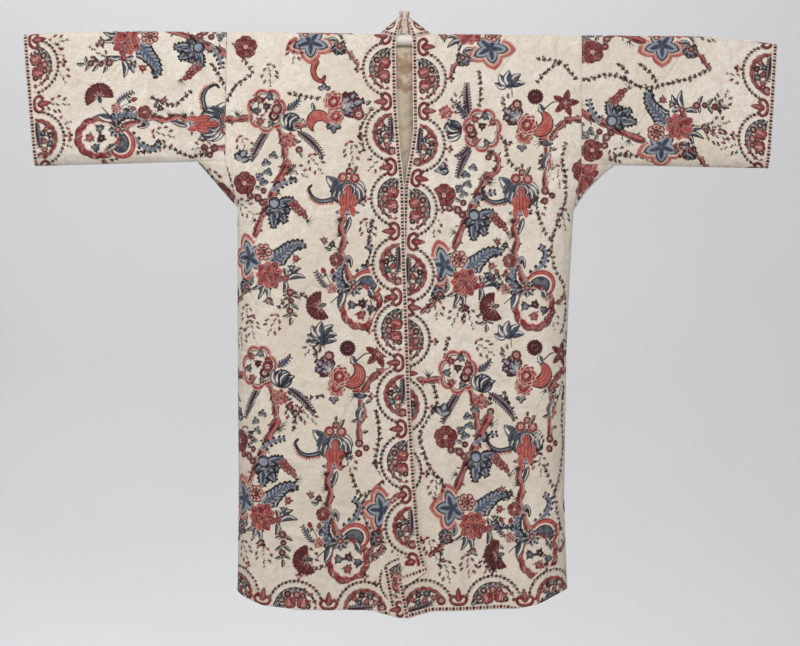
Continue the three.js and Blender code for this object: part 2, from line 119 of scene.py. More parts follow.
# Soft creases that only the cloth shows, from one place to another: x, z, to x, to z, width,
# height
CREASES = {
    "front": [
        (-350, -250, -180, -470, 11, -2.4), (-372, -300, -250, -420, 7, 1.8),
        (-392, -180, -300, -330, 9, -1.6), (-150, -40, -260, -210, 13, -1.8),
        (362, -262, 210, -430, 12, -2.6), (384, -232, 470, -262, 8, 3.0),
        (372, -205, 285, -330, 9, 1.8), (150, -60, 250, -230, 12, -1.5),
        (-60, -330, -330, -352, 9, 0.9), (40, -410, 330, -396, 8, 1.0),
        (-345, -560, -60, -548, 7, -0.9), (70, -575, 345, -590, 7, 1.0),
        (-330, -742, -90, -760, 8, 1.0), (100, -768, 340, -752, 8, -1.1),
        (-350, -930, -120, -945, 8, -1.0), (90, -960, 350, -948, 9, 1.0),
        (-320, -1080, -80, -1096, 7, 1.2), (110, -1105, 350, -1118, 8, -1.3),
        (-300, -640, -322, -1240, 15, 2.2), (-150, -900, -158, -1250, 12, -2.0),
        (140, -860, 146, -1250, 12, -2.4), (330, -700, 338, -1210, 14, 2.0),
        (228, -1060, 238, -1250, 10, 2.2), (-258, -1030, -262, -1250, 10, -2.4),
        (20, -880, 34, -1262, 9, 2.0), (-470, -40, -430, -255, 10, -1.6),
        (-560, -30, -590, -270, 9, 1.2), (-690, -20, -655, -275, 10, -1.5),
        (-770, -60, -760, -240, 8, 1.1), (480, -60, 440, -250, 10, 1.4),
        (560, -20, 602, -262, 9, -1.4), (690, -30, 668, -262, 9, 1.2),
        (750, -70, 762, -240, 8, -1.1), (430, -250, 600, -262, 7, -1.8),
        (-440, -262, -640, -270, 7, 1.6), (-230, -430, -238, -700, 13, 1.7),
        (232, -420, 226, -690, 13, -1.7), (-110, -120, -120, -420, 12, 1.3),
        (120, -130, 128, -430, 12, 1.4), (-345, -1150, -300, -1215, 8, 2.0),
        (350, -1130, 305, -1205, 8, -2.0),
    ],
    "back": [
        (-350, -250, -170, -450, 12, -2.4), (362, -262, 190, -440, 12, -2.4),
        (-384, -220, -300, -340, 8, 1.7), (384, -215, 290, -335, 8, 1.7),
        (-160, -60, -262, -230, 13, -1.6), (150, -50, 256, -220, 13, -1.6),
        (-345, -610, -50, -598, 8, 1.0), (40, -640, 345, -655, 8, -1.0),
        (-340, -860, -70, -874, 8, -1.0), (60, -900, 345, -886, 9, 1.0),
        (-300, -700, -316, -1240, 16, 2.4), (-90, -820, -100, -1245, 13, -2.2),
        (22, -760, 30, -1245, 14, 2.0), (150, -880, 158, -1245, 12, -2.2),
        (310, -720, 322, -1225, 15, 2.2), (-480, -40, -440, -250, 10, -1.6),
        (-590, -30, -612, -262, 10, 1.3), (-720, -30, -690, -270, 9, -1.4),
        (490, -50, 450, -250, 10, 1.4), (600, -30, 640, -262, 9, -1.4),
        (720, -30, 700, -262, 9, 1.3),
    ],
}
CREASE_FADE, CREASE_DEPTH = 0.3, 1.5


def mix(start, end, share):
    return start + (end - start) * share


def ease(value):
    value = np.clip(value, 0, 1)
    return value * value * (3 - 2 * value)


def look_up(table, value, column):
    """A column of a table at a value of its first column, straight between the rows."""
    rows = np.array(sorted(table), float)
    return np.interp(value, rows[:, 0], rows[:, column])


def of_side(x, key):
    return np.where(x < 0, SIDES["left"][key], SIDES["right"][key])


# ---------------------------------------------------------------- the two skins
def top_line(x):
    past = (np.abs(x) - ROD_HALF) / (of_side(x, "cuff_top") - ROD_HALF)
    return TOP_RADIUS - of_side(x, "droop") * np.clip(past, 0, 1) ** 1.5


def gusset_place(name, out, low, trim=0.0):
    """A place on half of a folded gusset, by its shares out to the sleeve and down the side."""
    side = SIDES[name]
    foot_x = SIDE_SEAM[0][1 if name == "left" else 2]
    corner = (side["armhole"] + trim / 2, GUSSET_TOP - trim)
    out_end = (side["gusset_tip"] - 3 * trim, GUSSET_TOP - trim)
    low_end = (foot_x + 3 * trim, GUSSET_FOOT + 3 * trim)
    across, drop = side["gusset_tip"] - foot_x, GUSSET_FOOT - GUSSET_TOP
    sag = 4 * out * low * side["sag"] / math.hypot(across, drop)
    x = corner[0] + out * (out_end[0] - corner[0]) + low * (low_end[0] - corner[0]) + sag * drop
    z = corner[1] + out * (out_end[1] - corner[1]) + low * (low_end[1] - corner[1]) + sag * across
    return x, z


def outline(name):
    side = SIDES[name]
    column = 1 if name == "left" else 2
    beyond = 200
    slope = (side["sleeve_foot"] - GUSSET_TOP) / (side["cuff_foot"] - side["gusset_tip"])
    return [(side["cuff_foot"] + beyond, side["sleeve_foot"] + beyond * slope),
            *[gusset_place(name, 1 - share, share) for share in (0, 0.25, 0.5, 0.75)],
            *[(row[column], row[0]) for row in SIDE_SEAM]]


OUTLINES = {name: outline(name) for name in SIDES}


def inside_by(x, z):
    """Distance in from the lower outline, negative outside it."""
    result = np.zeros_like(x)
    for name, corners in OUTLINES.items():
        here = (x < 0) == (name == "left")
        px, pz = np.abs(x[here]), z[here]
        nearest = np.full(px.shape, np.inf)
        signed = np.zeros_like(px)
        for (ax, az), (bx, bz) in zip(corners, corners[1:]):
            ex, ez = bx - ax, bz - az
            dx, dz = px - ax, pz - az
            along = np.clip((dx * ex + dz * ez) / (ex * ex + ez * ez), 0, 1)
            gap = np.hypot(dx - along * ex, dz - along * ez)
            closer = gap < nearest
            nearest = np.where(closer, gap, nearest)
            signed = np.where(closer, np.where(dx * ez > dz * ex, gap, -gap), signed)
        result[here] = signed
    return result


def sleeve_share(x):
    return ease((np.abs(x) - BLEND_FROM) / (BLEND_TO - BLEND_FROM))


def rounding(x, z):
    over_rod = 1 - (top_line(x) - z) / TOP_RADIUS
    at_edge = 1 - inside_by(x, z) / mix(BODY_ROUND, SLEEVE_ROUND, sleeve_share(x))
    return np.maximum(0, np.maximum(over_rod, at_edge))


def fold_height(face, x, z):
    total = np.zeros_like(x)
    for at, top, to, foot, width, height in FOLDS[face]:
        along = (top - z) / (top - foot)
        across = (x - mix(at, to, along)) / width
        fade = ease(along / FOLD_FADE) * ease((1 - along) / FOLD_FADE)
        total += np.where((along > 0) & (along < 1), height * np.exp(-across * across) * fade, 0)
    return total


def crease_height(face, x, z):
    total = np.zeros_like(x)
    for ax, az, bx, bz, width, height in CREASES[face]:
        ex, ez = bx - ax, bz - az
        length = math.hypot(ex, ez)
        along = ((x - ax) * ex + (z - az) * ez) / length ** 2
        wander = width * 0.5 * np.sin(7 * along + ax)
        across = (((z - az) * ex - (x - ax) * ez) / length - wander) / width
        fade = ease(along / CREASE_FADE) * ease((1 - along) / CREASE_FADE)
        total += height * np.exp(-across * across) * fade
    return CREASE_DEPTH * total


def tuck(x, z):
    """How far the right front is tucked behind the left one."""
    past_edge = x - look_up(FRONT_EDGES, np.maximum(z, STEP_TOP), 1)
    return (UNDERLAP * ease((TUCK_STRIP - past_edge) / TUCK_EASING)
            * ease((TUCK_TOP - z) / TUCK_FALL))


def depth(face, x, z):
    below = np.maximum(0, top_line(x) - TOP_RADIUS - z)
    body = mix(TOP_RADIUS, BODY_DEPTH, 1 - np.exp(-below / BODY_FALL))
    sleeve = mix(TOP_RADIUS, SLEEVE_DEPTH, 1 - np.exp(-below / SLEEVE_FALL))
    plain = mix(body, sleeve, sleeve_share(x))
    shown = "front" if face == "under" else face
    plain = plain + fold_height(shown, x, z) + crease_height(shown, x, z)
    return plain - tuck(x, z) if face == "under" else plain


def skin(face, x, z):
    """Points of the outer surface of a face: front, back, or under for the right front."""
    x, z = np.broadcast_arrays(np.asarray(x, float), np.asarray(z, float))
    x, z = x.copy(), z.copy()
    stand = depth(face, x, z) * np.sqrt(np.maximum(0, 1 - rounding(x, z) ** 2))
    y = (1 if face == "back" else -1) * np.maximum(SEAM / 2, stand)
    return np.stack([x, y, z], axis=-1)


# ---------------------------------------------------------------- fine grids of the pieces
def level_at(level, x, face):
    hem = look_up(HEM_LINE, x, 2 if face == "back" else 1)
    return np.where(level >= GUSSET_FOOT, level,
                    mix(GUSSET_FOOT, hem, (level - GUSSET_FOOT) / (HEM - GUSSET_FOOT)))


def body_edge(name, level):
    side = SIDES[name]
    column = 1 if name == "left" else 2
    if level >= GUSSET_TOP:
        return side["armhole"] - SEAM / 2
    if level > GUSSET_FOOT:
        foot_x = SIDE_SEAM[0][column]
        share = (level - GUSSET_TOP) / (GUSSET_FOOT - GUSSET_TOP)
        return mix(side["armhole"], foot_x, share) - SEAM / 2
    nominal = look_up(SIDE_SEAM, level, column)
    return look_up(SIDE_SEAM, level_at(level, side["sign"] * nominal, "front"), column)


def places_out(name, start, level, columns):
    """x of a row's columns from a start out to the side, through neck, panel and rounding."""
    neck, panel, round_off = columns
    sign = SIDES[name]["sign"]
    edge = body_edge(name, level)
    flat_end = edge - BODY_ROUND
    share = np.linspace(0, 1, neck + 1)
    share = mix(share, np.sin(share * math.pi / 2), 0.5)
    curve = np.sin(np.linspace(0, 1, round_off + 1)[1:] * math.pi / 2)
    return np.concatenate([
        mix(start, sign * NECK_HALF, share),
        sign * np.linspace(NECK_HALF, flat_end, panel + 1)[1:],
        sign * mix(flat_end, edge, curve),
    ])


def neck_angle(face, x):
    half = np.sqrt(np.maximum(0, 1 - (x / NECK_HALF) ** 2))
    return np.arcsin(half * (NECK_BACK if face == "back" else 1))


def body_grid(face, places_at, ridge_rows, rows):
    """Points of a body piece and the place of each on the flat cut."""
    points, flat_v = [], []
    for share in np.linspace(0, 1, ridge_rows + 1):
        x = places_at(0)
        angle = mix(neck_angle(face, x), math.pi / 2, share)
        points.append(skin(face, x, top_line(x) - TOP_RADIUS * (1 - np.cos(angle))))
        flat_v.append((math.pi / 2 - angle) * TOP_RADIUS)
    for level in np.linspace(0, HEM, rows + 1)[1:]:
        x = places_at(level)
        points.append(skin(face, x, level_at(level, x, face)))
        flat_v.append(points[-1][:, 2])
    points = np.array(points)
    return points, np.stack([unroll(points), np.array(flat_v)], axis=-1)


def unroll(points):
    """x on the flat cut: the cloth's own length past where it starts to round to the side."""
    x, y = points[..., 0], points[..., 1]
    flat = np.array(x)
    for i, row in enumerate(x):
        for side in SIDES.values():
            out = side["sign"] * row
            limit = out.max() - BODY_ROUND
            order = np.where(out > limit)[0]
            if side["sign"] * (row[-1] - row[0]) < 0:
                order = order[::-1]
            if len(order) < 3 or out.max() < 200:
                continue
            steps = np.hypot(np.diff(row[order]), np.diff(y[i, order]))
            flat[i, order[1:]] = row[order[0]] + side["sign"] * np.cumsum(steps)
    return flat


FRONT_COLUMNS = (44, 95, 31)
BACK_COLUMNS = (18, 72, 30)


def front_grid(name, face):
    column = 1 if name == "left" else 2
    return body_grid(face, lambda level: places_out(
        name, look_up(FRONT_EDGES, level, column), level, FRONT_COLUMNS), 10, 520)


def back_grid():
    def places_at(level):
        left = places_out("left", 0, level, BACK_COLUMNS)
        return np.concatenate([left[::-1], places_out("right", 0, level, BACK_COLUMNS)[1:]])
    return body_grid("back", places_at, 8, 368)


SLEEVE_SPANS = {"ridge": 10, "face": 96, "round": 19}


def sleeve_grid(name):
    """Rings of a sleeve, each from its edge at the back over the rod to its edge in front."""
    side = SIDES[name]
    tip, cuff_foot, quarter = side["gusset_tip"], side["cuff_foot"], math.pi / 2
    beside_gusset = np.linspace(side["armhole"] + SEAM / 2, tip, 31)[:-1] - tip
    rings, flats = [], []
    for share in np.concatenate([beside_gusset, np.linspace(0, 1, 160)]):

        def reach(z, share=share):
            if share <= 0:
                return np.full_like(np.asarray(z, float), tip + share)
            low = (TOP_RADIUS - z) / (TOP_RADIUS - side["sleeve_foot"])
            return mix(tip, mix(side["cuff_top"], cuff_foot, low), share)
        past = max(0, float(reach(np.array(float(GUSSET_TOP)))) - tip) / (cuff_foot - tip)
        foot = mix(GUSSET_TOP, side["sleeve_foot"], past)
        top_x = side["sign"] * float(reach(np.array(TOP_RADIUS)))
        axis = float(top_line(np.array(top_x))) - TOP_RADIUS
        ridge, round_off = (np.linspace(0, quarter, SLEEVE_SPANS[part] + 1)
                            for part in ("ridge", "round"))
        z = np.concatenate([
            axis + TOP_RADIUS * np.cos(ridge),
            np.linspace(axis, foot + SLEEVE_ROUND, SLEEVE_SPANS["face"] + 1)[1:],
            foot + SLEEVE_ROUND * (1 - np.sin(round_off[1:])),
        ])
        x = side["sign"] * reach(z)
        front, back = skin("front", x, z), skin("back", x, z)
        front[0, 1] = 0
        if share >= 0:
            front[-1, 1], back[-1, 1] = -SEAM / 2, SEAM / 2
        ring = np.concatenate([back[:0:-1], front])
        steps = np.hypot(np.diff(ring[:, 1]), np.diff(ring[:, 2]))
        length = np.concatenate([[0], np.cumsum(steps)])
        zero = len(back) - 1 + SLEEVE_SPANS["ridge"]
        rings.append(ring)
        flats.append(np.stack([ring[:, 0], length[zero] - length], axis=-1))
    return np.array(rings), np.array(flats)


GUSSET_SIDE = 100.0             # side of a gusset's square on the flat cut


def gusset_grid(name, steps=36):
    side = SIDES[name]
    grid = np.zeros((steps + 1, steps + 1, 3))
    flat = np.zeros((steps + 1, steps + 1, 2))
    for i in range(steps + 1):
        for j in range(steps + 1):
            front = i + j <= steps
            out, low = (i, j) if front else (steps - j, steps - i)
            reach = (out + low) / steps
            widen = math.sin(math.pi / 2 * reach) / reach / steps if reach > 0 else 0
            x, z = gusset_place(name, widen * out, widen * low, SEAM)
            face = "front" if front else "back"
            point = skin(face, np.array([side["sign"] * x]), np.array([z]))[0]
            if i + j == steps:
                point[1] = 0
            grid[i, j] = point
            flat[i, j] = (side["sign"] * (side["armhole"] + i / steps * GUSSET_SIDE),
                          GUSSET_TOP - j / steps * GUSSET_SIDE)
    return grid, flat


COLLAR = {"half_width": 10, "half_depth": 8, "x": -3, "y": 1, "height": 65, "rise": 3,
          "closed_at": 0.75, "slit_angle": 52, "half_length": 145}


def collar_point(share, height):
    name = "left" if share < 0 else "right"
    sign = SIDES[name]["sign"]
    slit_x = abs(look_up(FRONT_EDGES, 0, 1 if name == "left" else 2))
    turned = mix(math.pi, math.asin(slit_x / NECK_HALF), abs(share))
    sine = abs(math.cos(turned)) * (NECK_BACK if math.cos(turned) < 0 else 1)
    base = np.array([sign * NECK_HALF * math.sin(turned),
                     -math.copysign(1, math.cos(turned)) * TOP_RADIUS * sine,
                     TOP_RADIUS * math.sqrt(1 - sine * sine)])
    turn = mix(math.pi, math.radians(COLLAR["slit_angle"]), abs(share))
    top = np.array([COLLAR["x"] + sign * COLLAR["half_width"] * math.sin(turn),
                    COLLAR["y"] - COLLAR["half_depth"] * math.cos(turn),
                    COLLAR["height"] - COLLAR["rise"] * math.cos(turn)])
    closed = np.array([top[0], top[1], mix(base[2], top[2], COLLAR["closed_at"])])
    up = (closed - base) / np.linalg.norm(closed - base)
    base = base + SEAM * up
    if height < COLLAR["closed_at"]:
        return mix(base, closed, height / COLLAR["closed_at"])
    return mix(closed, top, (height - COLLAR["closed_at"]) / (1 - COLLAR["closed_at"]))


def collar_grid(columns=150, rows=40):
    heights, shares = np.linspace(0, 1, rows + 1), np.linspace(-1, 1, columns + 1)
    grid = np.array([[collar_point(s, h) for s in shares] for h in heights])
    flat = np.array([[(COLLAR["half_length"] * s, COLLAR["height"] * h) for s in shares]
                     for h in heights])
    crumple = 0.5 * np.sin(flat[..., 0] / 4.1 + 2 * np.sin(flat[..., 1] / 17))
    squeeze = np.sin(math.pi * np.clip(flat[..., 1] / COLLAR["height"], 0, 1))
    grid[..., 1] += crumple * squeeze * np.sign(grid[..., 1])
    return grid, flat


# ---------------------------------------------------------------- shapes of the print
# A shape is its middle, its reach and how far inside it a place is, all in millimetres.
INKS = ("blush", "sky", "coral", "rose", "slate", "plum", "ink")
FAR = 30.0
CELL = 1.0


def oval(x, y, wide, tall=None, turn=0):
    tall = wide if tall is None else tall
    c, s = math.cos(math.radians(turn)), math.sin(math.radians(turn))

    def inside(px, py):
        dx, dy = px - x, py - y
        return (1 - np.hypot((c * dx + s * dy) / wide, (c * dy - s * dx) / tall)) * min(wide, tall)
    return x, y, max(wide, tall), inside


def leaf(x, y, to_x, to_y, width, bend=0.0, teeth=0, bite=0.4):
    length = math.hypot(to_x - x, to_y - y)
    ux, uy = (to_x - x) / length, (to_y - y) / length

    def inside(px, py):
        along = ((px - x) * ux + (py - y) * uy) / length
        t = np.clip(along, 0, 1)
        across = (py - y) * ux - (px - x) * uy - bend * 4 * t * (1 - t)
        half = width / 2 * np.sin(math.pi * t ** 0.8) ** 0.7
        if teeth:
            half = half * (1 - bite * ((teeth * t) % 1))
        return half - np.abs(across) - length * np.abs(along - t)
    return (x + to_x) / 2, (y + to_y) / 2, length / 2 + width / 2 + abs(bend), inside


def smooth(points, steps=5):
    """A Catmull-Rom curve through points."""
    p = np.array([points[0], *points, points[-1]], float)
    t = np.linspace(0, 1, steps, endpoint=False)[:, None]
    parts = []
    for a, b, c, d in zip(p, p[1:], p[2:], p[3:]):
        parts.append(0.5 * (2 * b + (c - a) * t + (2 * a - 5 * b + 4 * c - d) * t ** 2
                            + (3 * b - a - 3 * c + d) * t ** 3))
    return np.concatenate([*parts, p[-1:]])


def vine(points, wide, thin=None, wave=0.0):
    """A stroke along a curve, whose width may swell and shrink."""
    path = smooth(points)
    thin = wide if thin is None else thin
    low, high = path.min(axis=0), path.max(axis=0)
    middle = (low + high) / 2

    def inside(px, py):
        best = np.full(np.broadcast(px, py).shape, -1e3)
        for k, ((ax, ay), (bx, by)) in enumerate(zip(path, path[1:])):
            ex, ey = bx - ax, by - ay
            t = np.clip(((px - ax) * ex + (py - ay) * ey) / max(1e-6, ex * ex + ey * ey), 0, 1)
            width = mix(wide, thin, (k + t) / (len(path) - 1)) * (1 + wave * np.sin(1.15 * (k + t)))
            gap = np.hypot(px - ax - t * ex, py - ay - t * ey)
            best = np.maximum(best, width / 2 - gap)
        return best
    return middle[0], middle[1], float(np.hypot(*(high - low)) / 2) + wide, inside


def bloom(x, y, radius, petals, cut=0.25, turn=0, sharp=False, squash=1.0, power=0.6):
    def inside(px, py):
        dx, dy = px - x, (py - y) / squash
        angle = np.arctan2(dy, dx) - math.radians(turn)
        if sharp:
            wave = 1 - np.abs(2 * ((petals * angle / (2 * math.pi) + 0.5) % 1) - 1)
            wave = wave ** power
        else:
            wave = np.abs(np.cos(petals * angle / 2)) ** power
        return (radius * (1 - cut * (1 - wave)) - np.hypot(dx, dy)) * 0.85
    return x, y, radius * max(1, squash), inside


def edge(shape, width, inset=0.0):
    x, y, reach, inside = shape
    return x, y, reach, lambda px, py: width / 2 - np.abs(inside(px, py) - inset - width / 2)


def less(shape, *cuts):
    x, y, reach, inside = shape

    def remaining(px, py):
        rest = inside(px, py)
        for cut in cuts:
            rest = np.minimum(rest, -cut[3](px, py))
        return rest
    return x, y, reach, remaining


def wedge(shape, turn, spread):
    """The part of a shape within some degrees of a direction from its middle."""
    x, y, reach, inside = shape

    def within(px, py):
        angle = np.degrees(np.arctan2(py - y, px - x)) - turn
        off = np.abs((angle + 180) % 360 - 180)
        gap = np.hypot(px - x, py - y) * np.radians(spread - off)
        return np.minimum(inside(px, py), gap)
    return x, y, reach, within


class Cut:
    """A flat cut of cloth and its ink layers: how far inside an ink's shapes each spot is."""

    def __init__(self, left, right, foot, top):
        self.left, self.foot = left, foot
        shape = (int((top - foot) / CELL) + 2, int((right - left) / CELL) + 2)
        self.layers = {ink: np.full(shape, -FAR, np.float32) for ink in INKS}

    def read(self, ink, u, v):
        layer = self.layers[ink]
        col = np.clip((u - self.left) / CELL, 0, layer.shape[1] - 1.001)
        row = np.clip((v - self.foot) / CELL, 0, layer.shape[0] - 1.001)
        j, i = col.astype(int), row.astype(int)
        fx, fy = col - j, row - i
        return ((layer[i, j] * (1 - fx) + layer[i, j + 1] * fx) * (1 - fy)
                + (layer[i + 1, j] * (1 - fx) + layer[i + 1, j + 1] * fx) * fy)


class Pen:
    """Draws on a cut in a motif's own millimetres, with x to its right and y up."""

    def __init__(self, cut, x=0.0, y=0.0, turn=0.0, size=1.0, flip=False):
        self.cut, self.x, self.y, self.turn, self.size, self.flip = cut, x, y, turn, size, flip

    def place(self, x, y):
        c, s = math.cos(math.radians(self.turn)), math.sin(math.radians(self.turn))
        x = -x if self.flip else x
        return self.x + self.size * (c * x - s * y), self.y + self.size * (s * x + c * y)

    def at(self, x, y, turn=0.0, size=1.0, flip=False):
        turn = -turn if self.flip else turn
        return Pen(self.cut, *self.place(x, y), self.turn + turn, self.size * size,
                   self.flip != flip)

    def spot(self, shape, margin):
        """The window of the cut round a shape, and how far inside the shape its spots are."""
        x, y, reach, inside = shape
        mid_x, mid_y = self.place(x, y)
        reach = reach * self.size + margin + 1
        rows, columns = next(iter(self.cut.layers.values())).shape
        low_j = max(0, int((mid_x - reach - self.cut.left) / CELL))
        high_j = min(columns, int((mid_x + reach - self.cut.left) / CELL) + 2)
        low_i = max(0, int((mid_y - reach - self.cut.foot) / CELL))
        high_i = min(rows, int((mid_y + reach - self.cut.foot) / CELL) + 2)
        if low_j >= high_j or low_i >= high_i:
            return None, None
        dx = self.cut.left + CELL * np.arange(low_j, high_j)[None, :] - self.x
        dy = self.cut.foot + CELL * np.arange(low_i, high_i)[:, None] - self.y
        c, s = math.cos(math.radians(self.turn)), math.sin(math.radians(self.turn))
        px, py = (c * dx + s * dy) / self.size, (c * dy - s * dx) / self.size
        if self.flip:
            px = -px
        return (slice(low_i, high_i), slice(low_j, high_j)), inside(px, py) * self.size

    def mark(self, shape, ink):
        """Prints a shape over what is there."""
        window, inside = self.spot(shape, 3)
        if window is not None:
            layer = self.cut.layers[ink]
            layer[window] = np.maximum(layer[window], np.maximum(inside, -FAR))

    def bare(self, shape, halo=0.0):
        """Leaves a shape unprinted."""
        window, inside = self.spot(shape, halo + 3)
        if window is not None:
            for layer in self.cut.layers.values():
                layer[window] = np.minimum(layer[window], np.maximum(-inside - halo, -FAR))

    def over(self, shape, ink):
        """Prints a shape in place of what is there."""
        self.bare(shape)
        self.mark(shape, ink)

    def fill(self, shape, ink=None, line="ink", weight=2.2, halo=1.4):
        """A printed shape with its outline, over cleared cloth."""
        self.bare(shape, halo)
        if ink:
            self.mark(shape, ink)
        if line:
            self.mark(edge(shape, weight, -0.5), line)


# ---------------------------------------------------------------- motifs of the print
def turned(x, y, turn, length):
    """The place a length away, in a direction in degrees."""
    return x + length * math.cos(math.radians(turn)), y + length * math.sin(math.radians(turn))


def grown(x, y, turn, length, width, *more):
    """A leaf that grows from a place in a direction."""
    return leaf(x, y, *turned(x, y, turn, length), width, *more)


def radial(turn, near, far, width):
    """A leaf between two distances from the middle."""
    return leaf(*turned(0, 0, turn, near), *turned(0, 0, turn, far), width)


def ray(turn, near, far, wide, thin=None):
    """A stroke between two distances from the middle."""
    return vine([turned(0, 0, turn, near), turned(0, 0, turn, far)], wide, thin)


def way_at(path, k):
    """The direction of a smooth line at one of its spots, in degrees."""
    (ax, ay), (bx, by) = path[k - 1], path[k + 1]
    return math.degrees(math.atan2(by - ay, bx - ax))


def rosettes(pen, ink, *places):
    for x, y, radius in places:
        rosette(pen.at(x, y), ink, radius)


def rims(pen, shape, *lines):
    """Lines that follow a shape's edge: width, inset and ink."""
    for width, inset, ink in lines:
        pen.mark(edge(shape, width, inset), ink)


def small_flower(pen, ink="rose", radius=7.5):
    pen.fill(bloom(0, 0, radius, 5, 0.4, 18), ink, line="plum" if ink == "rose" else "ink",
             weight=1.5, halo=0.8)
    pen.bare(oval(0, 0, 1.6))


def rosette(pen, ink="rose", radius=9.0, heart="rose"):
    pen.fill(bloom(0, 0, radius, 8, 0.16), ink, "plum", 2.2, 1.0)
    pen.bare(oval(0, 0, radius * 0.48))
    pen.mark(edge(oval(0, 0, radius * 0.5), 1.6), "plum")
    pen.mark(oval(0, 0, radius * 0.22), heart)


def shaded_leaf(pen, x, y, turn, length, width, bend=0.0, dark="slate"):
    """A leaf that is dark along one side and bare along the other."""
    to_x, to_y = turned(x, y, turn, length)
    pen.fill(leaf(x, y, to_x, to_y, width, bend), "sky", weight=2.2, halo=0.6)
    for side, thick in ((1, 0.4), (-1, 0.5)):
        ax, ay = turned(*turned(x, y, turn, length * 0.14), turn + 90, side * width * 0.16)
        bx, by = turned(*turned(x, y, turn, length * 0.9), turn + 90, side * width * 0.1)
        shape = leaf(ax, ay, bx, by, width * thick, bend)
        pen.mark(shape, dark) if side < 0 else pen.bare(shape)


def spray(pen, leaves, dark="slate"):
    for x, y, turn, length, width in leaves:
        shaded_leaf(pen, x, y, turn, length, width, 0.12 * length, dark)


def sprig(pen):
    """A fine forking stalk that ends in many small red and brown leaves."""
    pen.mark(vine([(0, 0), (3, 16), (-1, 32), (3, 46)], 0.9), "plum")
    for k, (y, turn, length) in enumerate(((7, 40, 15), (12, 142, 17), (20, 33, 18), (26, 150, 15),
                                           (33, 45, 14), (38, 132, 12), (44, 88, 8))):
        x = 1.5 * math.sin(y / 8)
        tip = turned(x, y, turn, length)
        pen.mark(vine([(x, y), turned(x, y, turn + 9, length * 0.55), tip], 0.6), "plum")
        for j, off in enumerate((-58, 0, 58)):
            ink = ("rose", "plum", "ink", "rose", "slate")[(2 * k + 3 * j) % 5]
            pen.mark(grown(*tip, turn + off, 7.4, 3.8), ink)
        pen.mark(grown(x, y, turn - 50, 6.5, 3.0), "ink" if k % 2 else "plum")


def garland(pen, points, gap=12.2):
    """A chain of small leafy knots and flowers along a curve."""
    path = smooth(points, 12)
    lengths = np.concatenate([[0], np.cumsum(np.hypot(*np.diff(path, axis=0).T))])
    pen.mark(vine(points, -0.1), "plum")
    for k in range(int(lengths[-1] / gap) + 1):
        x, y = (np.interp(k * gap, lengths, path[:, axis]) for axis in (0, 1))
        for j in range(5):
            turn = 76 * j + 61 * k
            pen.mark(grown(x, y, turn, 5.6 + (2 * k + j) % 3, 3.6),
                     ("ink", "plum", "ink", "slate", "plum")[(3 * k + j) % 5])
        if k % 2:
            pen.mark(oval(*turned(x, y, 67 * k + 45, 6.4), 2.7), "rose")


def feather(pen, x, y, to_x, to_y, width=13, bend=0.0, ink="plum"):
    """A long leaf with a dark thorn on each side of every vein."""
    length = math.hypot(to_x - x, to_y - y)
    turn = math.degrees(math.atan2(to_y - y, to_x - x))
    pen.fill(leaf(x, y, to_x, to_y, width * 0.74, bend), "sky", "slate", 2.0)
    pen.mark(leaf(x, y, to_x, to_y, width * 0.40, bend), ink)
    count = max(5, int(length / 6.0))
    for k in range(1, count):
        t = k / count
        reach = width * 0.30 * math.sin(math.pi * t ** 0.8) ** 0.7
        mid = turned(*turned(x, y, turn, t * length), turn + 90, bend * 4 * t * (1 - t))
        for side in (-1, 1):
            foot = turned(*mid, turn + 90, side * reach)
            pen.mark(grown(*foot, turn + side * 50, 7.0, 3.0), "ink")


def acanthus(pen, points, wide, thin, ink="slate"):
    """A curling leaf, pale inside, with a scalloped, beaded edge."""
    path = smooth(points)
    spots = [(path[k], way_at(path, k), mix(wide, thin, k / len(path)))
             for k in range(1, len(path) - 1, 2)]
    for (x, y), turn, width in spots:
        for side in (-1, 1):
            foot = turned(x, y, turn + side * 90, width * 0.22)
            pen.fill(grown(*foot, turn + side * 48, width * 0.62, width * 0.52),
                     "sky", weight=2.8, halo=0.8)
    pen.over(vine(points, wide * 0.66, thin * 0.66), "sky")
    pen.mark(vine(points, wide * 0.26, thin * 0.3), ink)
    for (x, y), turn, width in spots:
        for side in (-1, 1):
            pen.mark(grown(x, y, turn + side * 50, width * 0.74, width * 0.13), ink)
            pen.mark(oval(*turned(x, y, turn + side * 62, width * 0.68), 2.4), "ink")
    pen.bare(vine(points, 1.4, 0.6))


def lobed_leaf(pen, lobes, ink="slate", tip="ink"):
    """A leaf of beaded lobes, each given by its direction, length and width."""
    for turn, length, width in lobes:
        pen.fill(grown(0, 0, turn, length, width), "sky", tip, 2.6, 0.8)
    for turn, length, width in lobes:
        pen.mark(radial(turn, 4, length * 0.92, width * 0.36), ink)
        pen.bare(ray(turn, 3, length * 0.6, 1.6, 0.8))
        for t in (0.4, 0.56, 0.72, 0.88):
            half = width / 2 * math.sin(math.pi * t ** 0.8) ** 0.7
            for side in (-1, 1):
                foot = turned(*turned(0, 0, turn, t * length), turn + 90, side * half)
                pen.mark(grown(*foot, turn + side * 25, 4.8, 4.4), tip)


def blue_leaf(pen, ink="slate"):
    """A broad vine leaf of uneven lobes with a round heart."""
    lobed_leaf(pen, [(20, 24, 13), (140, 31, 18), (180, 39, 18), (104, 40, 20), (68, 45, 20)], ink)
    pen.fill(oval(0, -5, 10.5, 11.5), "sky", weight=2.6)
    pen.mark(less(oval(0, -5, 8.5, 9.5), oval(2, -3, 8)), "slate")


def flame_leaf(pen):
    """A pale leaf with dark pointed flames, which points along its y."""
    lobed_leaf(pen, [(40, 26, 13), (140, 26, 13), (64, 34, 14), (118, 34, 14), (90, 40, 14)],
               "sky", "plum")


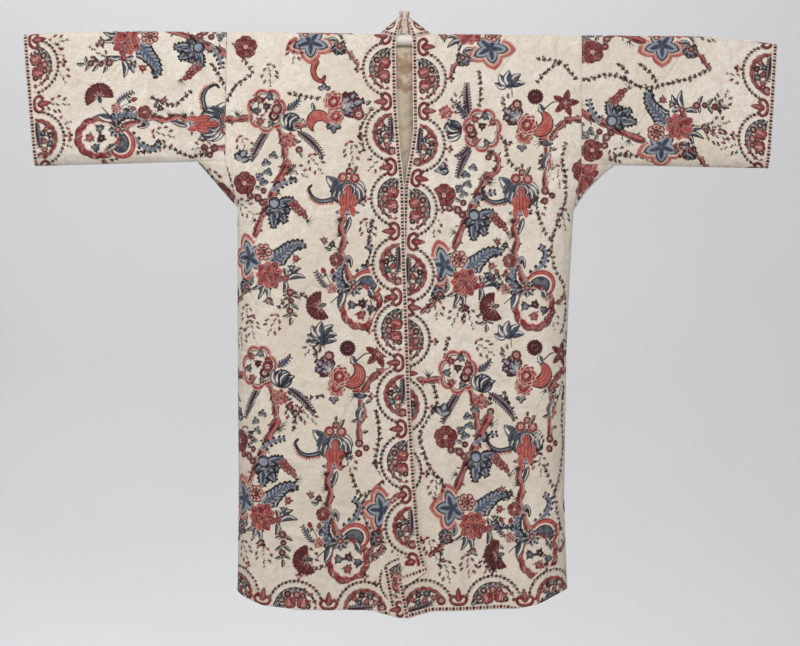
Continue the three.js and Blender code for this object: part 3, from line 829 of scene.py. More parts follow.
def head(pen, x=0.0, y=0.0, size=1.0, turn=0.0):
    """A rose-like flower in rings of petals."""
    p = pen.at(x, y, turn, size)
    p.fill(bloom(0, 0, 22, 9, 0.2, 10, squash=1.08), "coral", "plum", 2.4)
    for radius, petals, start in ((17.5, 8, 31), (12, 7, 5)):
        ring = bloom(0, 0, radius, petals, 0.22, start, squash=1.1)
        p.bare(edge(ring, 2.0, -2.6))
        p.mark(edge(ring, 4.2), "rose")
    p.bare(oval(1, 1, 4.6, 6.2))
    p.mark(edge(oval(1, 1, 5.4, 7.0), 2.0), "plum")
    p.mark(oval(1, 1, 2.4, 3.2), "blush")


def peony(pen):
    """Two heads, one over the other."""
    head(pen, -4, -15, 0.86, 20)
    head(pen, 2, 9, 1.04)


def ragged_peony(pen):
    """A loose red head of crowded, parted petals."""
    petals = (9, 8, 31, 17), (7, 3, 22, 13), (5, 0, 13, 9)
    for ring, (count, near, far, width) in enumerate(petals):
        for k in range(count):
            turn = 17 * ring + 360 * k / count
            a, b = turned(0, 0, turn, near), turned(0, 0, turn, far - 3 * (k % 2))
            pen.fill(leaf(*a, *b, width), "coral" if k % 2 else "rose", "rose", 2.2, 1.2)
            pen.mark(grown(*a, turn, (far - near) * 0.62, width * 0.34), "plum")


def mauve_flower(pen, radius=20.0):
    """A pale flower veined in purple-brown."""
    pen.fill(bloom(0, 0, radius, 6, 0.22), "blush", "plum", 2.4)
    for k in range(9):
        turn = 40 * k
        pen.mark(radial(turn, 3, radius * 0.8, radius * 0.26), "plum")
    pen.bare(edge(oval(1, 0, radius * 0.42), 1.6))
    pen.mark(oval(1, 0, radius * 0.2), "rose")


def five_petals(pen):
    for k in range(5):
        turn = 90 + 72 * k
        shape = bloom(*turned(0, 0, turn, 13), 13.5, 3, 0.18, turn + 60)
        pen.fill(shape, "rose", "plum", 2.2, 1.2)
        for off in (-16, 0, 16):
            pen.mark(ray(turn + off, 5, 20, 1.5, 2.2), "plum")
    pen.bare(oval(0, 0, 4.2))
    pen.mark(oval(0, 0, 2.4), "coral")


def carnation(pen):
    """Broad toothed petals that fan out from the foot of the stalk."""
    for turn in (-88, -44, 0, 44, 88):
        fan = wedge(bloom(0, 0, 33, 26, 0.13, 7, sharp=True, power=1.0), turn, 22)
        pen.fill(fan, "rose", "plum", 2.0, 1.0)
        for off in (-13, -4, 5, 14):
            pen.mark(ray(turn + off, 13, 30, 0.8, 3.4), "plum")
        pen.bare(ray(turn, 5, 17, 1.6, 0.8))
    pen.fill(leaf(-14, 0, 6, 0, 8), "slate", weight=1.8)


def maple(pen):
    """A red leaf of five toothed lobes, its stalk at the foot."""
    for turn in (90, 162, 18, 234, -54):
        pen.fill(grown(0, 0, turn, 31, 17, 0, 4, 0.28), "rose", "plum", 2.4, 0.8)
    for turn in (90, 162, 18, 234, -54):
        pen.mark(radial(turn, 4, 25, 5), "plum")
        pen.bare(ray(turn, 2, 17, 1.6, 0.8))


def aster(pen):
    pen.fill(bloom(0, 0, 19, 18, 0.24, 0, sharp=True, power=1.0), "plum", "plum", 1.6)
    pen.mark(bloom(0, 0, 14, 16, 0.2, 0), "rose")
    pen.bare(edge(oval(0, 0, 7.5), 1.4))
    pen.mark(oval(0, 0, 3.6), "plum")


def lotus(pen):
    """A white bud with blue-grey petals that curl out."""
    spray(pen, [(-4, -12, 168, 30, 15), (4, -12, 12, 30, 15), (-2, -12, 128, 34, 17),
                (2, -12, 52, 36, 17), (0, -14, 92, 38, 20)])
    pen.mark(oval(0, -12, 7, 6), "slate")


def crescent(pen):
    """A ribbed horn curled round on itself."""
    body = less(oval(0, 0, 27), oval(-13, 11, 17))
    pen.fill(body, "coral", "ink", 2.4)
    for radius in (22, 16, 10):
        pen.mark(less(edge(oval(0, 0, radius), 1.9), oval(-13, 11, 18)), "rose")


def grapes(pen, count=9):
    places = [(0, 0), (9, 3), (4, -8), (13, -6), (9, -15), (18, -13), (16, -22), (24, -20),
              (26, -30)]
    for x, y in places[:count]:
        pen.fill(oval(x, y, 5.6), "rose", line="plum", weight=1.8, halo=0.6)
        pen.bare(oval(x - 1, y + 1.4, 1.3))


def lilies(pen):
    """Slender leaves in a bunch that hangs down."""
    spray(pen, [(0, 6, -142, 28, 10), (0, 6, -104, 42, 11), (0, 6, -72, 46, 11),
                (0, 6, -40, 28, 11)])


def cascade(pen):
    """Small blue-leaved flowers that hang one below another."""
    pen.mark(vine([(0, 0), (6, -22), (2, -44), (6, -68)], 1.9, 1.6), "ink")
    spray(pen, [(6, -14, 200, 20, 8), (8, -20, -22, 20, 8), (2, -38, 215, 18, 8),
                (6, -40, -35, 20, 8), (4, -60, 200, 18, 7), (6, -60, -25, 17, 7),
                (5, -68, -95, 18, 8)])
    rosettes(pen, "rose", (4, -14, 8.5), (6, -32, 6.5), (4, -54, 7.5))


def branch(pen, points, wide, thin):
    """A knotted red stem with a darker side, thorns and small leaves."""
    path = smooth(points)
    pen.bare(vine(points, wide + 4, thin + 4, 0.16))
    pen.mark(vine(points, wide + 1.6, thin + 1.6, 0.16), "plum")
    pen.over(vine(points, wide - 3, thin - 3, 0.16), "rose")
    pen.over(vine([(x + wide * 0.14, y + wide * 0.1) for x, y in points], wide * 0.3, thin * 0.2,
                  0.5), "coral")
    pen.mark(vine([(x - wide * 0.22, y - wide * 0.12) for x, y in points], wide * 0.16, thin * 0.1,
                  0.9), "plum")
    for k in range(2, len(path) - 2, 3):
        turn, side = way_at(path, k), 1 if k % 2 else -1
        foot = turned(*path[k], turn + side * 90, wide * 0.4)
        pen.mark(grown(*foot, turn + side * 60, wide * 0.6, 3.4, side), "plum")
        pen.mark(vine([turned(*path[k], turn + 90, -side * wide * 0.4),
                       turned(*path[k], turn + 50, -side * wide * 0.05)], 1.6, 0.4), "plum")


def talons(pen):
    """Fine roots that spread from a knot."""
    for turn in (-54, -24, 6, 36):
        way = [(0, 0), turned(0, 0, turn, 10), turned(0, 0, turn + 14, 19)]
        pen.mark(vine(way, 3.0, 0.6), "slate")
        pen.mark(vine([(0, 0), turned(0, 0, turn - 4, 10), turned(0, 0, turn + 10, 19)], 1.2, 0.4),
                 "ink")


def posy(pen, flowers):
    """Small flowers, each with dark leaves beside it: x, y, ink and radius."""
    for x, y, ink, radius in flowers:
        for turn in (25, 145, 265):
            pen.mark(grown(x, y, turn + 9 * x, radius + 5, 4.6), "ink")
        small_flower(pen.at(x, y, 13 * y), ink, radius)


def cloud_flower(pen):
    """A lobed white medallion of small flowers, ringed in red."""
    lobes = bloom(0, 0, 41, 7, 0.19, 12, squash=1.14)
    pen.bare(lobes, 3.0)
    rims(pen, lobes, (5.4, 0, "rose"), (3.0, -2.4, "coral"), (2.0, 5.2, "plum"))
    pen.bare(edge(lobes, 2.0, 3.0))
    posy(pen, [(-15, 23, "rose", 8.5), (6, 30, "slate", 8.5), (22, 16, "rose", 7.5),
               (-23, -2, "slate", 8), (0, 8, "plum", 8), (-14, -24, "rose", 9),
               (10, -28, "slate", 7)])


def white_bulb(pen):
    """A round white bud in dark-edged blue petals."""
    pen.fill(oval(0, 0, 21, 20), "sky", weight=2.6)
    spray(pen, [(0, -19, 128, 42, 17), (0, -19, 56, 42, 17), (0, -19, 104, 40, 15),
                (0, -19, 76, 40, 15)])
    for turn in (66, 114):
        pen.mark(grown(0, -18, turn, 36, 4), "ink")


def spur(pen):
    """A broken stem with a few roots."""
    branch(pen, [(26, 76), (46, 88), (52, 108), (46, 126), (30, 132)], 14, 8)
    talons(pen.at(36, 128, 110))
    rosette(pen.at(30, 120), "rose", 7)


def horn(pen):
    """A curled coral tail."""
    pen.fill(vine([(0, 6), (-5, -12), (0, -30), (14, -36), (20, -26)], 15, 6), "coral", "ink", 2.4)
    pen.mark(vine([(0, 2), (-3, -12), (2, -26)], 3.4, 2), "rose")


def blossom(pen):
    """A white and blue flower on a thorny red twig."""
    branch(pen, [(8, -4), (24, -12), (34, -28), (44, -36)], 10, 7)
    lobed_leaf(pen.at(0, 0, 0, 0.72), [(198 + 52 * k, 24, 15) for k in range(5)])
    rosette(pen.at(2, 4), "rose", 8)
    talons(pen.at(6, 10, 60, 0.7))


def cloud(pen):
    """The lobed medallion on its branch, with feathery leaves and a bulb."""
    branch(pen, [(-84, -20), (-62, -20), (-36, -14)], 15, 12)
    talons(pen.at(-66, -12, 90))
    branch(pen, [(20, -26), (32, -52), (38, -80), (42, -104), (44, -126)], 12, 13)
    feather(pen, 8, -36, -34, -114, 17, -3)
    feather(pen, 66, -44, 126, -104, 17, 6)
    feather(pen, 28, 4, 74, 30, 13, -9, "slate")
    cloud_flower(pen)
    rosette(pen.at(16, -12), "plum", 12)
    rosette(pen.at(22, 2), "rose", 12)
    white_bulb(pen.at(55, -25, -20))
    ragged_peony(pen.at(50, -65, 0, 0.62))
    rosette(pen.at(72, -86), "rose", 8)
    spray(pen, [(64, -72, 20, 14, 6), (72, -92, -60, 14, 6)])
    talons(pen.at(48, -122, -30))


def cloud_turned(pen):
    """The same medallion, its leaves and bulb on the other side."""
    feather(pen, -26, 20, -34, 106, 17, 3)
    feather(pen, -24, -38, -54, -108, 17, -4)
    feather(pen, -28, -28, -62, -60, 14, 9)
    feather(pen, -38, 20, -64, 64, 10, -5, "slate")
    cloud_flower(pen)
    rosette(pen.at(-22, -8), "plum", 12)
    rosette(pen.at(-26, 2), "rose", 12)
    white_bulb(pen.at(-64, 0, 80))
    ragged_peony(pen.at(-80, 38, 0, 0.55))


def peonies(pen):
    """Two-toned heads among a horn, a toothed leaf, an aster and a bud."""
    pen.mark(vine([(38, 42), (60, 60), (84, 56)], 2.2), "ink")
    branch(pen, [(122, 22), (98, 22), (84, 16), (68, 0), (54, -22)], 13, 12)
    pen.mark(vine([(-30, 70), (-32, 88)], 2.0), "ink")
    lotus(pen.at(-36, 106))
    aster(pen.at(20, 71))
    maple(pen.at(86, 58, -12))
    crescent(pen.at(31, 12, 0, 1.06))
    shaded_leaf(pen, 36, 36, 110, 22, 13)
    flame_leaf(pen.at(-14, 22, 58, 1.1))
    rosette(pen.at(-20, 54), "rose", 11)
    spray(pen, [(-44, 52, 150, 14, 7), (-46, 60, 120, 14, 7), (-38, 66, 100, 13, 6)], "rose")
    peony(pen)
    lobed_leaf(pen.at(-9, -36, 0, 0.5), [(-90, 30, 15), (-150, 24, 13), (-30, 24, 13)])


def peonies_laid(pen):
    """The same flowers laid out to the side of a branch."""
    branch(pen, [(-80, -40), (-62, -38), (-46, -34)], 13, 11)
    crescent(pen.at(-34, -30, 150, 0.94))
    shaded_leaf(pen, -44, -8, 100, 20, 9)
    flame_leaf(pen.at(16, 2, -74, 1.35))
    rosette(pen.at(54, -14), "rose", 13)
    spray(pen, [(70, 6, 40, 15, 8), (76, -4, 5, 15, 8), (68, -14, -30, 14, 7)], "rose")
    lobed_leaf(pen.at(0, -36, 0, 0.7), [(-90, 30, 15), (-150, 26, 13), (-30, 26, 13)])
    head(pen, 4, -19, 0.8, 20)
    head(pen, -1, 13, 1.0)
    lobed_leaf(pen.at(-22, 40, 0, 0.6), [(90, 26, 13), (20, 24, 13), (160, 24, 13)])


def bough(pen):
    """The main branch with its lobed leaf, grapes and a five-petalled flower."""
    branch(pen, [(28, 80), (12, 48), (3, 27), (-12, -8), (-26, -34), (-42, -76)], 18, 14)
    talons(pen.at(30, 66, -20))
    talons(pen.at(-40, -46, 170, 0.9))
    acanthus(pen, [(-2, 22), (22, 38), (46, 44)], 15, 7)
    for x, y, turn in ((-18, 76, 100), (-16, 56, 70), (-30, 48, 140), (-22, 34, 110), (-4, 92, 80)):
        lobed_leaf(pen.at(x, y, turn - 90, 0.5), [(90, 30, 18), (30, 22, 14), (150, 22, 14)])
    spray(pen, [(-44, 26, 170, 16, 8), (-36, 12, 190, 16, 8), (-30, 24, 150, 16, 8)])
    rosettes(pen, "rose", (-36, 4, 9), (-54, 8, 8), (-24, 20, 7))
    blue_leaf(pen.at(2, -12, 198, 1.16))
    rosette(pen.at(-26, -6), "rose", 8)
    grapes(pen.at(38, -10, 8))
    talons(pen.at(70, -44, -10, 0.9))
    five_petals(pen.at(-66, 36))
    lobed_leaf(pen.at(-76, 84, 0, 0.8), [(70, 34, 19), (120, 26, 15), (20, 26, 15)], "sky")


def star(pen):
    """A blue star with scalloped red rims, a mauve flower, a loose peony and leaves."""
    rim = bloom(0, 0, 47, 5, 0.36, 180, sharp=True, power=0.8, squash=1.15)
    behind = oval(46, -2, 42, 60)
    pen.bare(less(rim, behind), 2.4)
    for width, inset, ink in ((5.0, 0, "coral"), (2.2, -2.0, "rose"), (3.4, 6.6, "rose")):
        pen.mark(less(edge(rim, width, inset), behind), ink)
    middle = bloom(0, 0, 35, 5, 0.5, 180, sharp=True, power=0.8, squash=1.15)
    pen.fill(middle, "sky", "ink", 3.0, 1.8)
    for k in range(5):
        turn = 180 + 72 * k
        pen.mark(grown(0, 0, turn, 29, 10), "slate")
        pen.mark(ray(turn, 4, 25, 1.8, 1.2), "ink")
    acanthus(pen, [(54, -6), (74, 8), (92, 24), (112, 30), (118, 22)], 29, 9)
    lilies(pen.at(30, -58))
    spray(pen, [(6, -36, -95, 26, 9)])
    lilies(pen.at(-8, -52, -10, 0.6))
    ragged_peony(pen.at(46, -38, -20, 1.1))
    mauve_flower(pen.at(32, 12))
    spray(pen, [(84, -46, 38, 40, 13), (84, -46, 4, 42, 13), (80, -48, -96, 30, 11)])
    spray(pen, [(76, -18, 62, 22, 10), (78, -22, -82, 22, 10)])
    posy(pen, [(104, -2, "rose", 8), (94, -22, "slate", 6), (82, -44, "rose", 8)])
    blossom(pen.at(-12, -62, -90))
    cascade(pen.at(88, -62))
    rosette(pen.at(46, -94), "rose", 8)
    spray(pen, [(46, -98, -30, 13, 7), (44, -92, 200, 13, 6)])


def fruit(pen):
    """A striped fruit on a stand, its winding stem, and the ringed medallion below."""
    acanthus(pen, [(14, -206), (26, -176), (50, -150), (56, -126), (42, -114)], 17, 9)
    branch(pen, [(-9, -52), (-16, -74), (-8, -100), (-13, -128), (-4, -160), (8, -196)], 13, 13)
    for y in (-60, -92, -128):
        talons(pen.at(-16, y, 175, 0.8))
    shaded_leaf(pen, 6, -52, -108, 40, 11)
    shaded_leaf(pen, 0, -134, -75, 30, 9, 3, "plum")
    acanthus(pen, [(-4, -216), (-20, -190), (-16, -162), (0, -140)], 22, 9)
    # the stand and the fruit
    curl = [(-30, -12), (-56, -18), (-76, -10), (-86, 8), (-80, 16)]
    for k, (x, y) in enumerate(smooth(curl[:4], 4)):
        pen.mark(grown(x, y, 250 - 3 * k, 15 - 0.6 * k, 4.6), "coral")
    pen.fill(vine(curl, 9, 4), "sky", weight=2.4)
    pen.mark(vine([(x, y + 2) for x, y in curl], 3.4, 1.6), "slate")
    for x, y in smooth(curl[:4], 4):
        pen.mark(oval(x, y - 4.5, 1.9), "ink")
    shaded_leaf(pen, -10, 2, 138, 52, 27)
    shaded_leaf(pen, 28, 16, -80, 46, 18, -8)
    pen.fill(oval(0, 0, 36, 29), "slate")
    pen.fill(oval(0, -10, 22, 27), "coral", "plum")
    for x in (-12, -4, 4, 12):
        pen.mark(vine([(x * 0.6, 14), (x, -10), (x * 0.7, -34)], 2.4), "rose")
    for sign in (-1, 1):
        for turn, length, width in ((-30, 44, 15), (-48, 52, 15), (-66, 52, 13), (-82, 34, 10)):
            shaded_leaf(pen, sign * 2, 24, turn if sign > 0 else 180 - turn, length, width,
                        sign * 8)
    pen.fill(leaf(-28, -42, 26, -42, 11), "sky", "plum", 2.6)
    for x in (-14, 12):
        pen.fill(leaf(x * 0.7, -28, x, -52, 12), "coral", "rose", 2.0)
    rosettes(pen, "coral", (-12, 34, 11), (14, 33, 11), (2, 48, 8))
    spray(pen, [(8, 40, 45, 15, 7), (14, 48, 60, 14, 7), (2, 56, 80, 12, 6)], "rose")
    # the ringed medallion
    ring = bloom(30, -245, 48, 11, 0.08, 20, squash=1.12)
    pen.bare(ring, 1.6)
    rims(pen, ring, (10, 0, "rose"), (2.2, -1.2, "plum"), (2.0, 9.2, "coral"))
    for k in range(18):
        a, b = turned(30, -245, 20 * k, 40), turned(30, -245, 20 * k + 8, 47)
        (pen.bare if k % 2 else lambda shape: pen.mark(shape, "plum"))(vine([a, b], 2.0))
    posy(pen, [(10, -244, "slate", 9), (30, -266, "rose", 10), (52, -252, "slate", 9),
               (32, -240, "plum", 9), (56, -224, "rose", 8)])
    branch(pen, [(84, -236), (98, -228), (106, -212)], 9, 7)
    fan = less(oval(44, -196, 34, 30, 20), oval(34, -220, 30, 24))
    pen.fill(fan, "coral", "rose", 3.0)
    for grow, ink in ((6, None), (11, "slate")):
        inner = less(oval(42, -199, 34 - grow, 30 - grow, 20), oval(32, -222, 30, 24))
        pen.fill(inner, ink, "ink" if ink else None, 2.0, 0)
    shaded_leaf(pen, 46, -206, -62, 26, 12)
    # its blue heart, stalks, buds and the carnation
    for turn in range(0, 360, 45):
        shaded_leaf(pen, *turned(14, -206, turn, 4), turn, 16, 10)
    rosette(pen.at(14, -204), "coral", 7.5)
    shaded_leaf(pen, -6, -212, -108, 42, 17)
    for points in ([(8, -208), (-16, -222), (-36, -240)], [(4, -206), (-18, -204), (-34, -210)],
                   [(2, -202), (-16, -190), (-32, -176)], [(-30, -206), (-40, -190), (-47, -174)]):
        pen.mark(vine(points, 2.0, 1.8), "ink")
    carnation(pen.at(-58, -246, 196))
    for x, y, turn in ((-34, -178, 75), (-50, -176, 110)):
        shaded_leaf(pen, x, y - 8, turn, 14, 11)
        pen.fill(grown(x, y, turn, 15, 12, 0, 2), "rose", "plum", 2.0)
    ragged_peony(pen.at(-34, -208, 0, 0.42))
    feather(pen, -42, -210, -70, -168, 7, 3, "slate")
    five_petals(pen.at(-24, -146, 0, 0.62))
    spray(pen, [(-34, -124, 160, 18, 7), (-36, -120, 60, 16, 7), (-44, -110, 120, 18, 7)])
    posy(pen, [(-52, -104, "rose", 6), (-34, -112, "plum", 6)])


def side_branch(pen):
    """A thinner stem beside the fruit, wound with blue."""
    branch(pen, [(55, 126), (55, 94), (63, 74), (52, 48), (54, 12)], 12, 11)
    shaded_leaf(pen, 62, 92, -98, 42, 14, -8)
    pen.fill(wedge(oval(56, 120, 18, 17), 90, 92), "coral", "plum", 2.4)
    pen.fill(leaf(42, 112, 70, 112, 13), "slate")
    talons(pen.at(46, 112, 180))
    rosettes(pen, "rose", (53, 8, 9), (52, -14, 8), (68, -2, 7))
    spray(pen, [(66, 96, 20, 14, 7), (48, 60, 200, 14, 7), (60, 30, 20, 14, 7)])


# ---------------------------------------------------------------- printed border
BAND = 11.0                     # width of the guard band along an edge
MEDALLION = 46.0


def half_medallion(pen, kind):
    """Half a medallion that stands on the guard band, with the garland round it."""
    base = BAND + 1

    def raised(shape):
        x, y, reach, inside = shape
        return x, y, reach, lambda px, py: np.minimum(inside(px, py), py - base)
    pen.bare((0, base, 80, lambda px, py: np.minimum(68 - np.hypot(px, py - base), py)))
    for k in range(21):
        turn = 4 + 172 * k / 20
        x, y = turned(0, base, turn, 60)
        if k % 2:
            pen.mark(oval(x, y, 3.3), "rose")
        for j, off in enumerate((20, 110, 200, 290)):
            pen.mark(grown(x, y, turn + off, 6.0 - k % 2, 3.2),
                     ("ink", "plum", "slate", "ink")[j])
    for turn in (20, 90, 160, 270):
        ink = "ink" if turn == 90 else "rose"
        pen.mark(oval(*turned(0, base + 71, turn, 5.5), 3.8, 3.0, turn), ink)
    if kind == "ring":
        ring = bloom(0, base, MEDALLION, 18, 0.05)
        for width, inset, ink in ((6.4, 0, "rose"), (1.8, 5.6, "plum"), (1.4, -1.2, "plum")):
            pen.mark(raised(edge(ring, width, inset)), ink)
        posy(pen.at(0, base), [(-24, 16, "rose", 7), (-12, 29, "slate", 8), (6, 31, "plum", 7.5),
                               (22, 24, "rose", 7), (-4, 16, "rose", 7.5), (12, 15, "slate", 6)])
        feather(pen, 40, base + 3, -20, base + 8, 15, 3)
        rosette(pen.at(-38, base + 6), "rose", 10)
    else:
        arc = less(raised(oval(0, base, 47)), oval(-7, base - 6, 42))
        pen.fill(arc, "slate", weight=2.4)
        for k in range(8):
            turn = 14 + 15 * k
            pen.bare(vine([turned(0, base, turn, 38), turned(0, base, turn + 4, 46)], 2.0))
        for x, y, turn in ((-40, 6, 165), (-36, 18, 145), (-28, 30, 125), (-24, 16, 140),
                           (-14, 38, 105)):
            pen.fill(grown(x, base + y, turn, 11, 7.5), "rose", "plum", 1.6, 0.5)
        for x, y, turn in ((-15, 15, 100), (13, 13, 70)):
            pen.fill(bloom(x, base + y, 14, 5, 0.2, turn), "rose", "plum", 2.2)
            pen.over(grown(x, base + y - 8, turn, 16, 7), "coral")
            pen.bare(vine([(x, base + y - 5), turned(x, base + y - 5, turn, 11)], 1.8, 1.0))
        for x, y, radius, ink in ((0, 31, 8.5, "coral"), (-27, 9, 6.5, "plum"), (20, 30, 8, "plum"),
                                  (31, 16, 7.5, "slate"), (-14, 30, 6.5, "coral")):
            rosette(pen.at(x, base + y), ink, radius)
        spray(pen.at(0, base), [(46, 2, 172, 26, 9), (50, 0, 130, 20, 8)])


def trefoil(pen):
    """A pointed red bud in a curl that lies along the guard band."""
    base = BAND + 1
    pen.bare((0, base, 40, lambda px, py: np.minimum(24 - np.hypot(px * 0.9, py - base), py)))
    curl = [(sign * x, base + y) for sign, row in ((-1, 1), (1, -1))
            for x, y in ((12, 21), (18, 14), (13, 5), (4, 2))[::row]]
    pen.mark(vine(curl, 7.0), "rose")
    pen.mark(vine([(x, y - 2) for x, y in curl], 2.6), "plum")
    for sign in (-1, 1):
        pen.fill(leaf(0, base + 8, sign * 13, base + 21, 9, sign * 3), "rose", "plum", 1.8, 0.8)
    pen.fill(leaf(0, base + 9, 0, base + 39, 12), "rose", "plum", 2.0, 0.4)
    pen.over(leaf(0, base + 15, 0, base + 26, 2.6), "coral")


def along_edge(cut, path, turn_in, items, guard_from=None, guard_to=None, gap=7.4):
    """Border motifs and the guard band along an edge of a cut.

    The cloth lies on the left of the path where turn_in is 1, on its right where it is -1. Items
    are places along it and names. A motif's own x runs back along the path."""
    lengths = np.concatenate([[0], np.cumsum(np.hypot(*np.diff(path, axis=0).T))])

    def pen_at(run):
        x, y = (np.interp(run, lengths, path[:, axis]) for axis in (0, 1))
        low, high = max(0, run - 8), min(lengths[-1], run + 8)
        dx, dy = (np.interp(high, lengths, path[:, axis]) - np.interp(low, lengths, path[:, axis])
                  for axis in (0, 1))
        turn = math.degrees(math.atan2(dy, dx))
        return Pen(cut, x, y, turn, 1.0, True) if turn_in > 0 else Pen(cut, x, y, turn + 180, 1.0)
    for run, name in sorted(items, key=lambda item: item[1] == "trefoil"):
        pen = pen_at(run)
        trefoil(pen) if name == "trefoil" else half_medallion(pen, name)
    if guard_from is None:
        return
    for k, run in enumerate(np.arange(guard_from, guard_to, gap)):
        pen = pen_at(run)
        pen.bare((0, 6, 12, lambda px, py: np.minimum(
            np.minimum(gap / 2 + 0.8 - np.abs(px), BAND - py), py + 3)))
        if k % 2:
            pen.mark(oval(0, 5.4, 2.7, 3.4), "rose")
        else:
            for turn in (38, -38):
                pen.mark(oval(0, 5.4, 4.0, 1.9, 90 + turn), "ink")


def border_items(first, last, pitch, start_kind="cluster"):
    """Medallions of the two kinds by turns, a pitch apart, with a trefoil between each two."""
    items, kinds = [], ["cluster", "ring"]
    turn = kinds.index(start_kind)
    run = first
    while run <= last:
        items.append((run, kinds[turn % 2]))
        items.append((run + pitch / 2, "trefoil"))
        turn += 1
        run += pitch
    return items


# ---------------------------------------------------------------- the printed pieces
# A repeat of the pattern, its places measured from the corner of each repeat
REPEATS = [(column, row) for column in (-362, -22, 318) for row in (0, -550)]
REPEAT = [
    (star, 0, -482), (bough, 68, -379), (side_branch, 170, -339), (cloud, 40, -170),
    (peonies, 178, -196), (fruit, 170, -339), (sprig, -26, -300, 10), (sprig, 244, -300, 20, True),
    (sprig, 262, -424, -20), (sprig, -40, -408, -10, True), (sprig, 22, -596),
    (sprig, 96, -626, 20, True), (sprig, 198, -118, -20), (sprig, 250, -140, 30, True),
    (aster, 262, -232), (five_petals, 238, -584, 15), (cascade, 276, -476),
    (sprig, 150, -640, -30),
]
REPEAT_GARLANDS = [
    [(262, -250), (276, -300), (262, -352), (280, -420)],
    [(262, -500), (280, -560), (258, -610), (282, -660)],
    [(60, -540), (110, -566), (170, -560), (214, -590)],
    [(-30, -100), (-44, -150), (-30, -200), (-46, -260)],
]
# piece: motif, x and z on its flat cut, then its turn in degrees and whether it is mirrored
LAYOUT = {
    "left_front": [
        (horn, -196, -58), (star, -208, -8, 90), (cloud, -302, -160), (peonies_laid, -155, -153),
        (bough, -283, -356), (star, -338, -482), (fruit, -122, -340), (lotus, -177, -655),
        (cloud, -316, -721), (side_branch, -146, -893), (peonies, -140, -749), (bough, -301, -919),
        (star, -41, -1029), (five_petals, -350, -20), (star, -350, -1008), (fruit, -146, -893),
        (aster, -390, -560), (cascade, -392, -770)],
    "right_front": [
        (star, 186, -18, -78, True), (cloud_turned, 169, -199), (side_branch, 255, -339),
        (peonies, 265, -196), (bough, 153, -379), (spur, 153, -379), (star, 88, -494),
        (fruit, 255, -339), (cloud, 120, -727), (side_branch, 270, -879), (peonies, 267, -744),
        (bough, 161, -905), (star, 110, -1023), (fruit, 270, -879), (five_petals, 392, -285),
        (lotus, 390, -650), (cascade, 392, -790), (aster, 388, -1020), (grapes, 384, -330)],
    "left_sleeve": [
        (star, -573, 35, -90), (bough, -446, -22, -90), (side_branch, -424, -190, -90),
        (fruit, -424, -190, -90), (star, -590, 252, -90), (bough, -452, 190, -90),
        (fruit, -690, 160, 90)],
    "right_sleeve": [
        (star, 563, 200, 90), (star, 563, -8, 90), (ragged_peony, 398, -24), (bough, 446, 42, 90),
        (star, 563, -232, 90), (bough, 446, -176, 90), (bough, 446, 256, 90),
        (fruit, 690, 330, 90)],
    "back": [
        *[(motif, x + column, z + row, *turn) for column, row in REPEATS
          for motif, x, z, *turn in REPEAT],
        (star, -130, 8, 90), (star, 250, 8, 90), (five_petals, -360, -90), (lotus, -236, -70, 10),
        (ragged_peony, 40, -108), (cascade, 330, -60, 0, True), (sprig, -180, -96, 20),
        (sprig, 130, -96, -20, True), (sprig, 205, -60, 30), (sprig, -300, -40, -30, True),
        (maple, -290, -1170, 20), (lotus, 52, -1172)],
    "left_gusset": [
        (five_petals, -416, -330), (grapes, -470, -350)],
    "right_gusset": [
        (ragged_peony, 400, -292, 10), (sprig, 398, -370, 20), (sprig, 430, -340, -60),
        (five_petals, 460, -352)],
}
# Sprigs that are drawn after the rest of their piece: x, z, turn and whether it is mirrored
SPRIGS = {
    "left_front": [
        (-330, -120, 200), (-250, -60, -10), (-208, -312, 60), (-116, -282), (-172, -300, 40, True),
        (-86, -292, -50), (-74, -450, 10), (-290, -112, 10, True), (-340, -268, 20),
        (-322, -388, 60, True), (-300, -655, -30), (-356, -690, 10, True), (-186, -850, 40),
        (-330, -900, 30, True), (-214, -700, -40, True), (-112, -960, 10), (-190, -1160, 20),
        (-345, -640), (-320, -662, 20, True), (-300, -1160), (-330, -1150, 30, True),
        (-232, -850, 10), (-70, -620, 0, True)],
    "right_front": [
        (63, -440), (70, -620), (108, -632, -20, True), (150, -640, 10), (145, -1180),
        (112, -1190, 20, True), (175, -1178, -20), (290, -400), (130, -110, 160), (300, -958),
        (76, -1010, 0, True), (362, -420, 20, True), (84, -300, 20), (330, -640, 10),
        (340, -800, -20, True), (206, -690, 60, True), (336, -330), (76, -1140, 20),
        (205, -1168, 10, True), (345, -1110, -10), (230, -560, 30)],
    "left_sleeve": [
        (-730, -150, 80), (-726, -178, 110, True), (-745, -44, 60), (-500, -225, 70),
        (-735, -5, 100), (-700, -20, -120, True), (-745, -105, 20), (-725, -245, 60),
        (-470, -250, -80, True)],
    "right_sleeve": [
        (700, -60, -100), (706, -96, 160, True), (714, -216, 70), (690, -238, -60, True),
        (718, -170, 110), (640, -255, 60), (500, -262, 70), (708, 120, -80), (700, 20, 90)],
    "left_gusset": [
        (-440, -300, 120), (-400, -318, 60, True)],
}
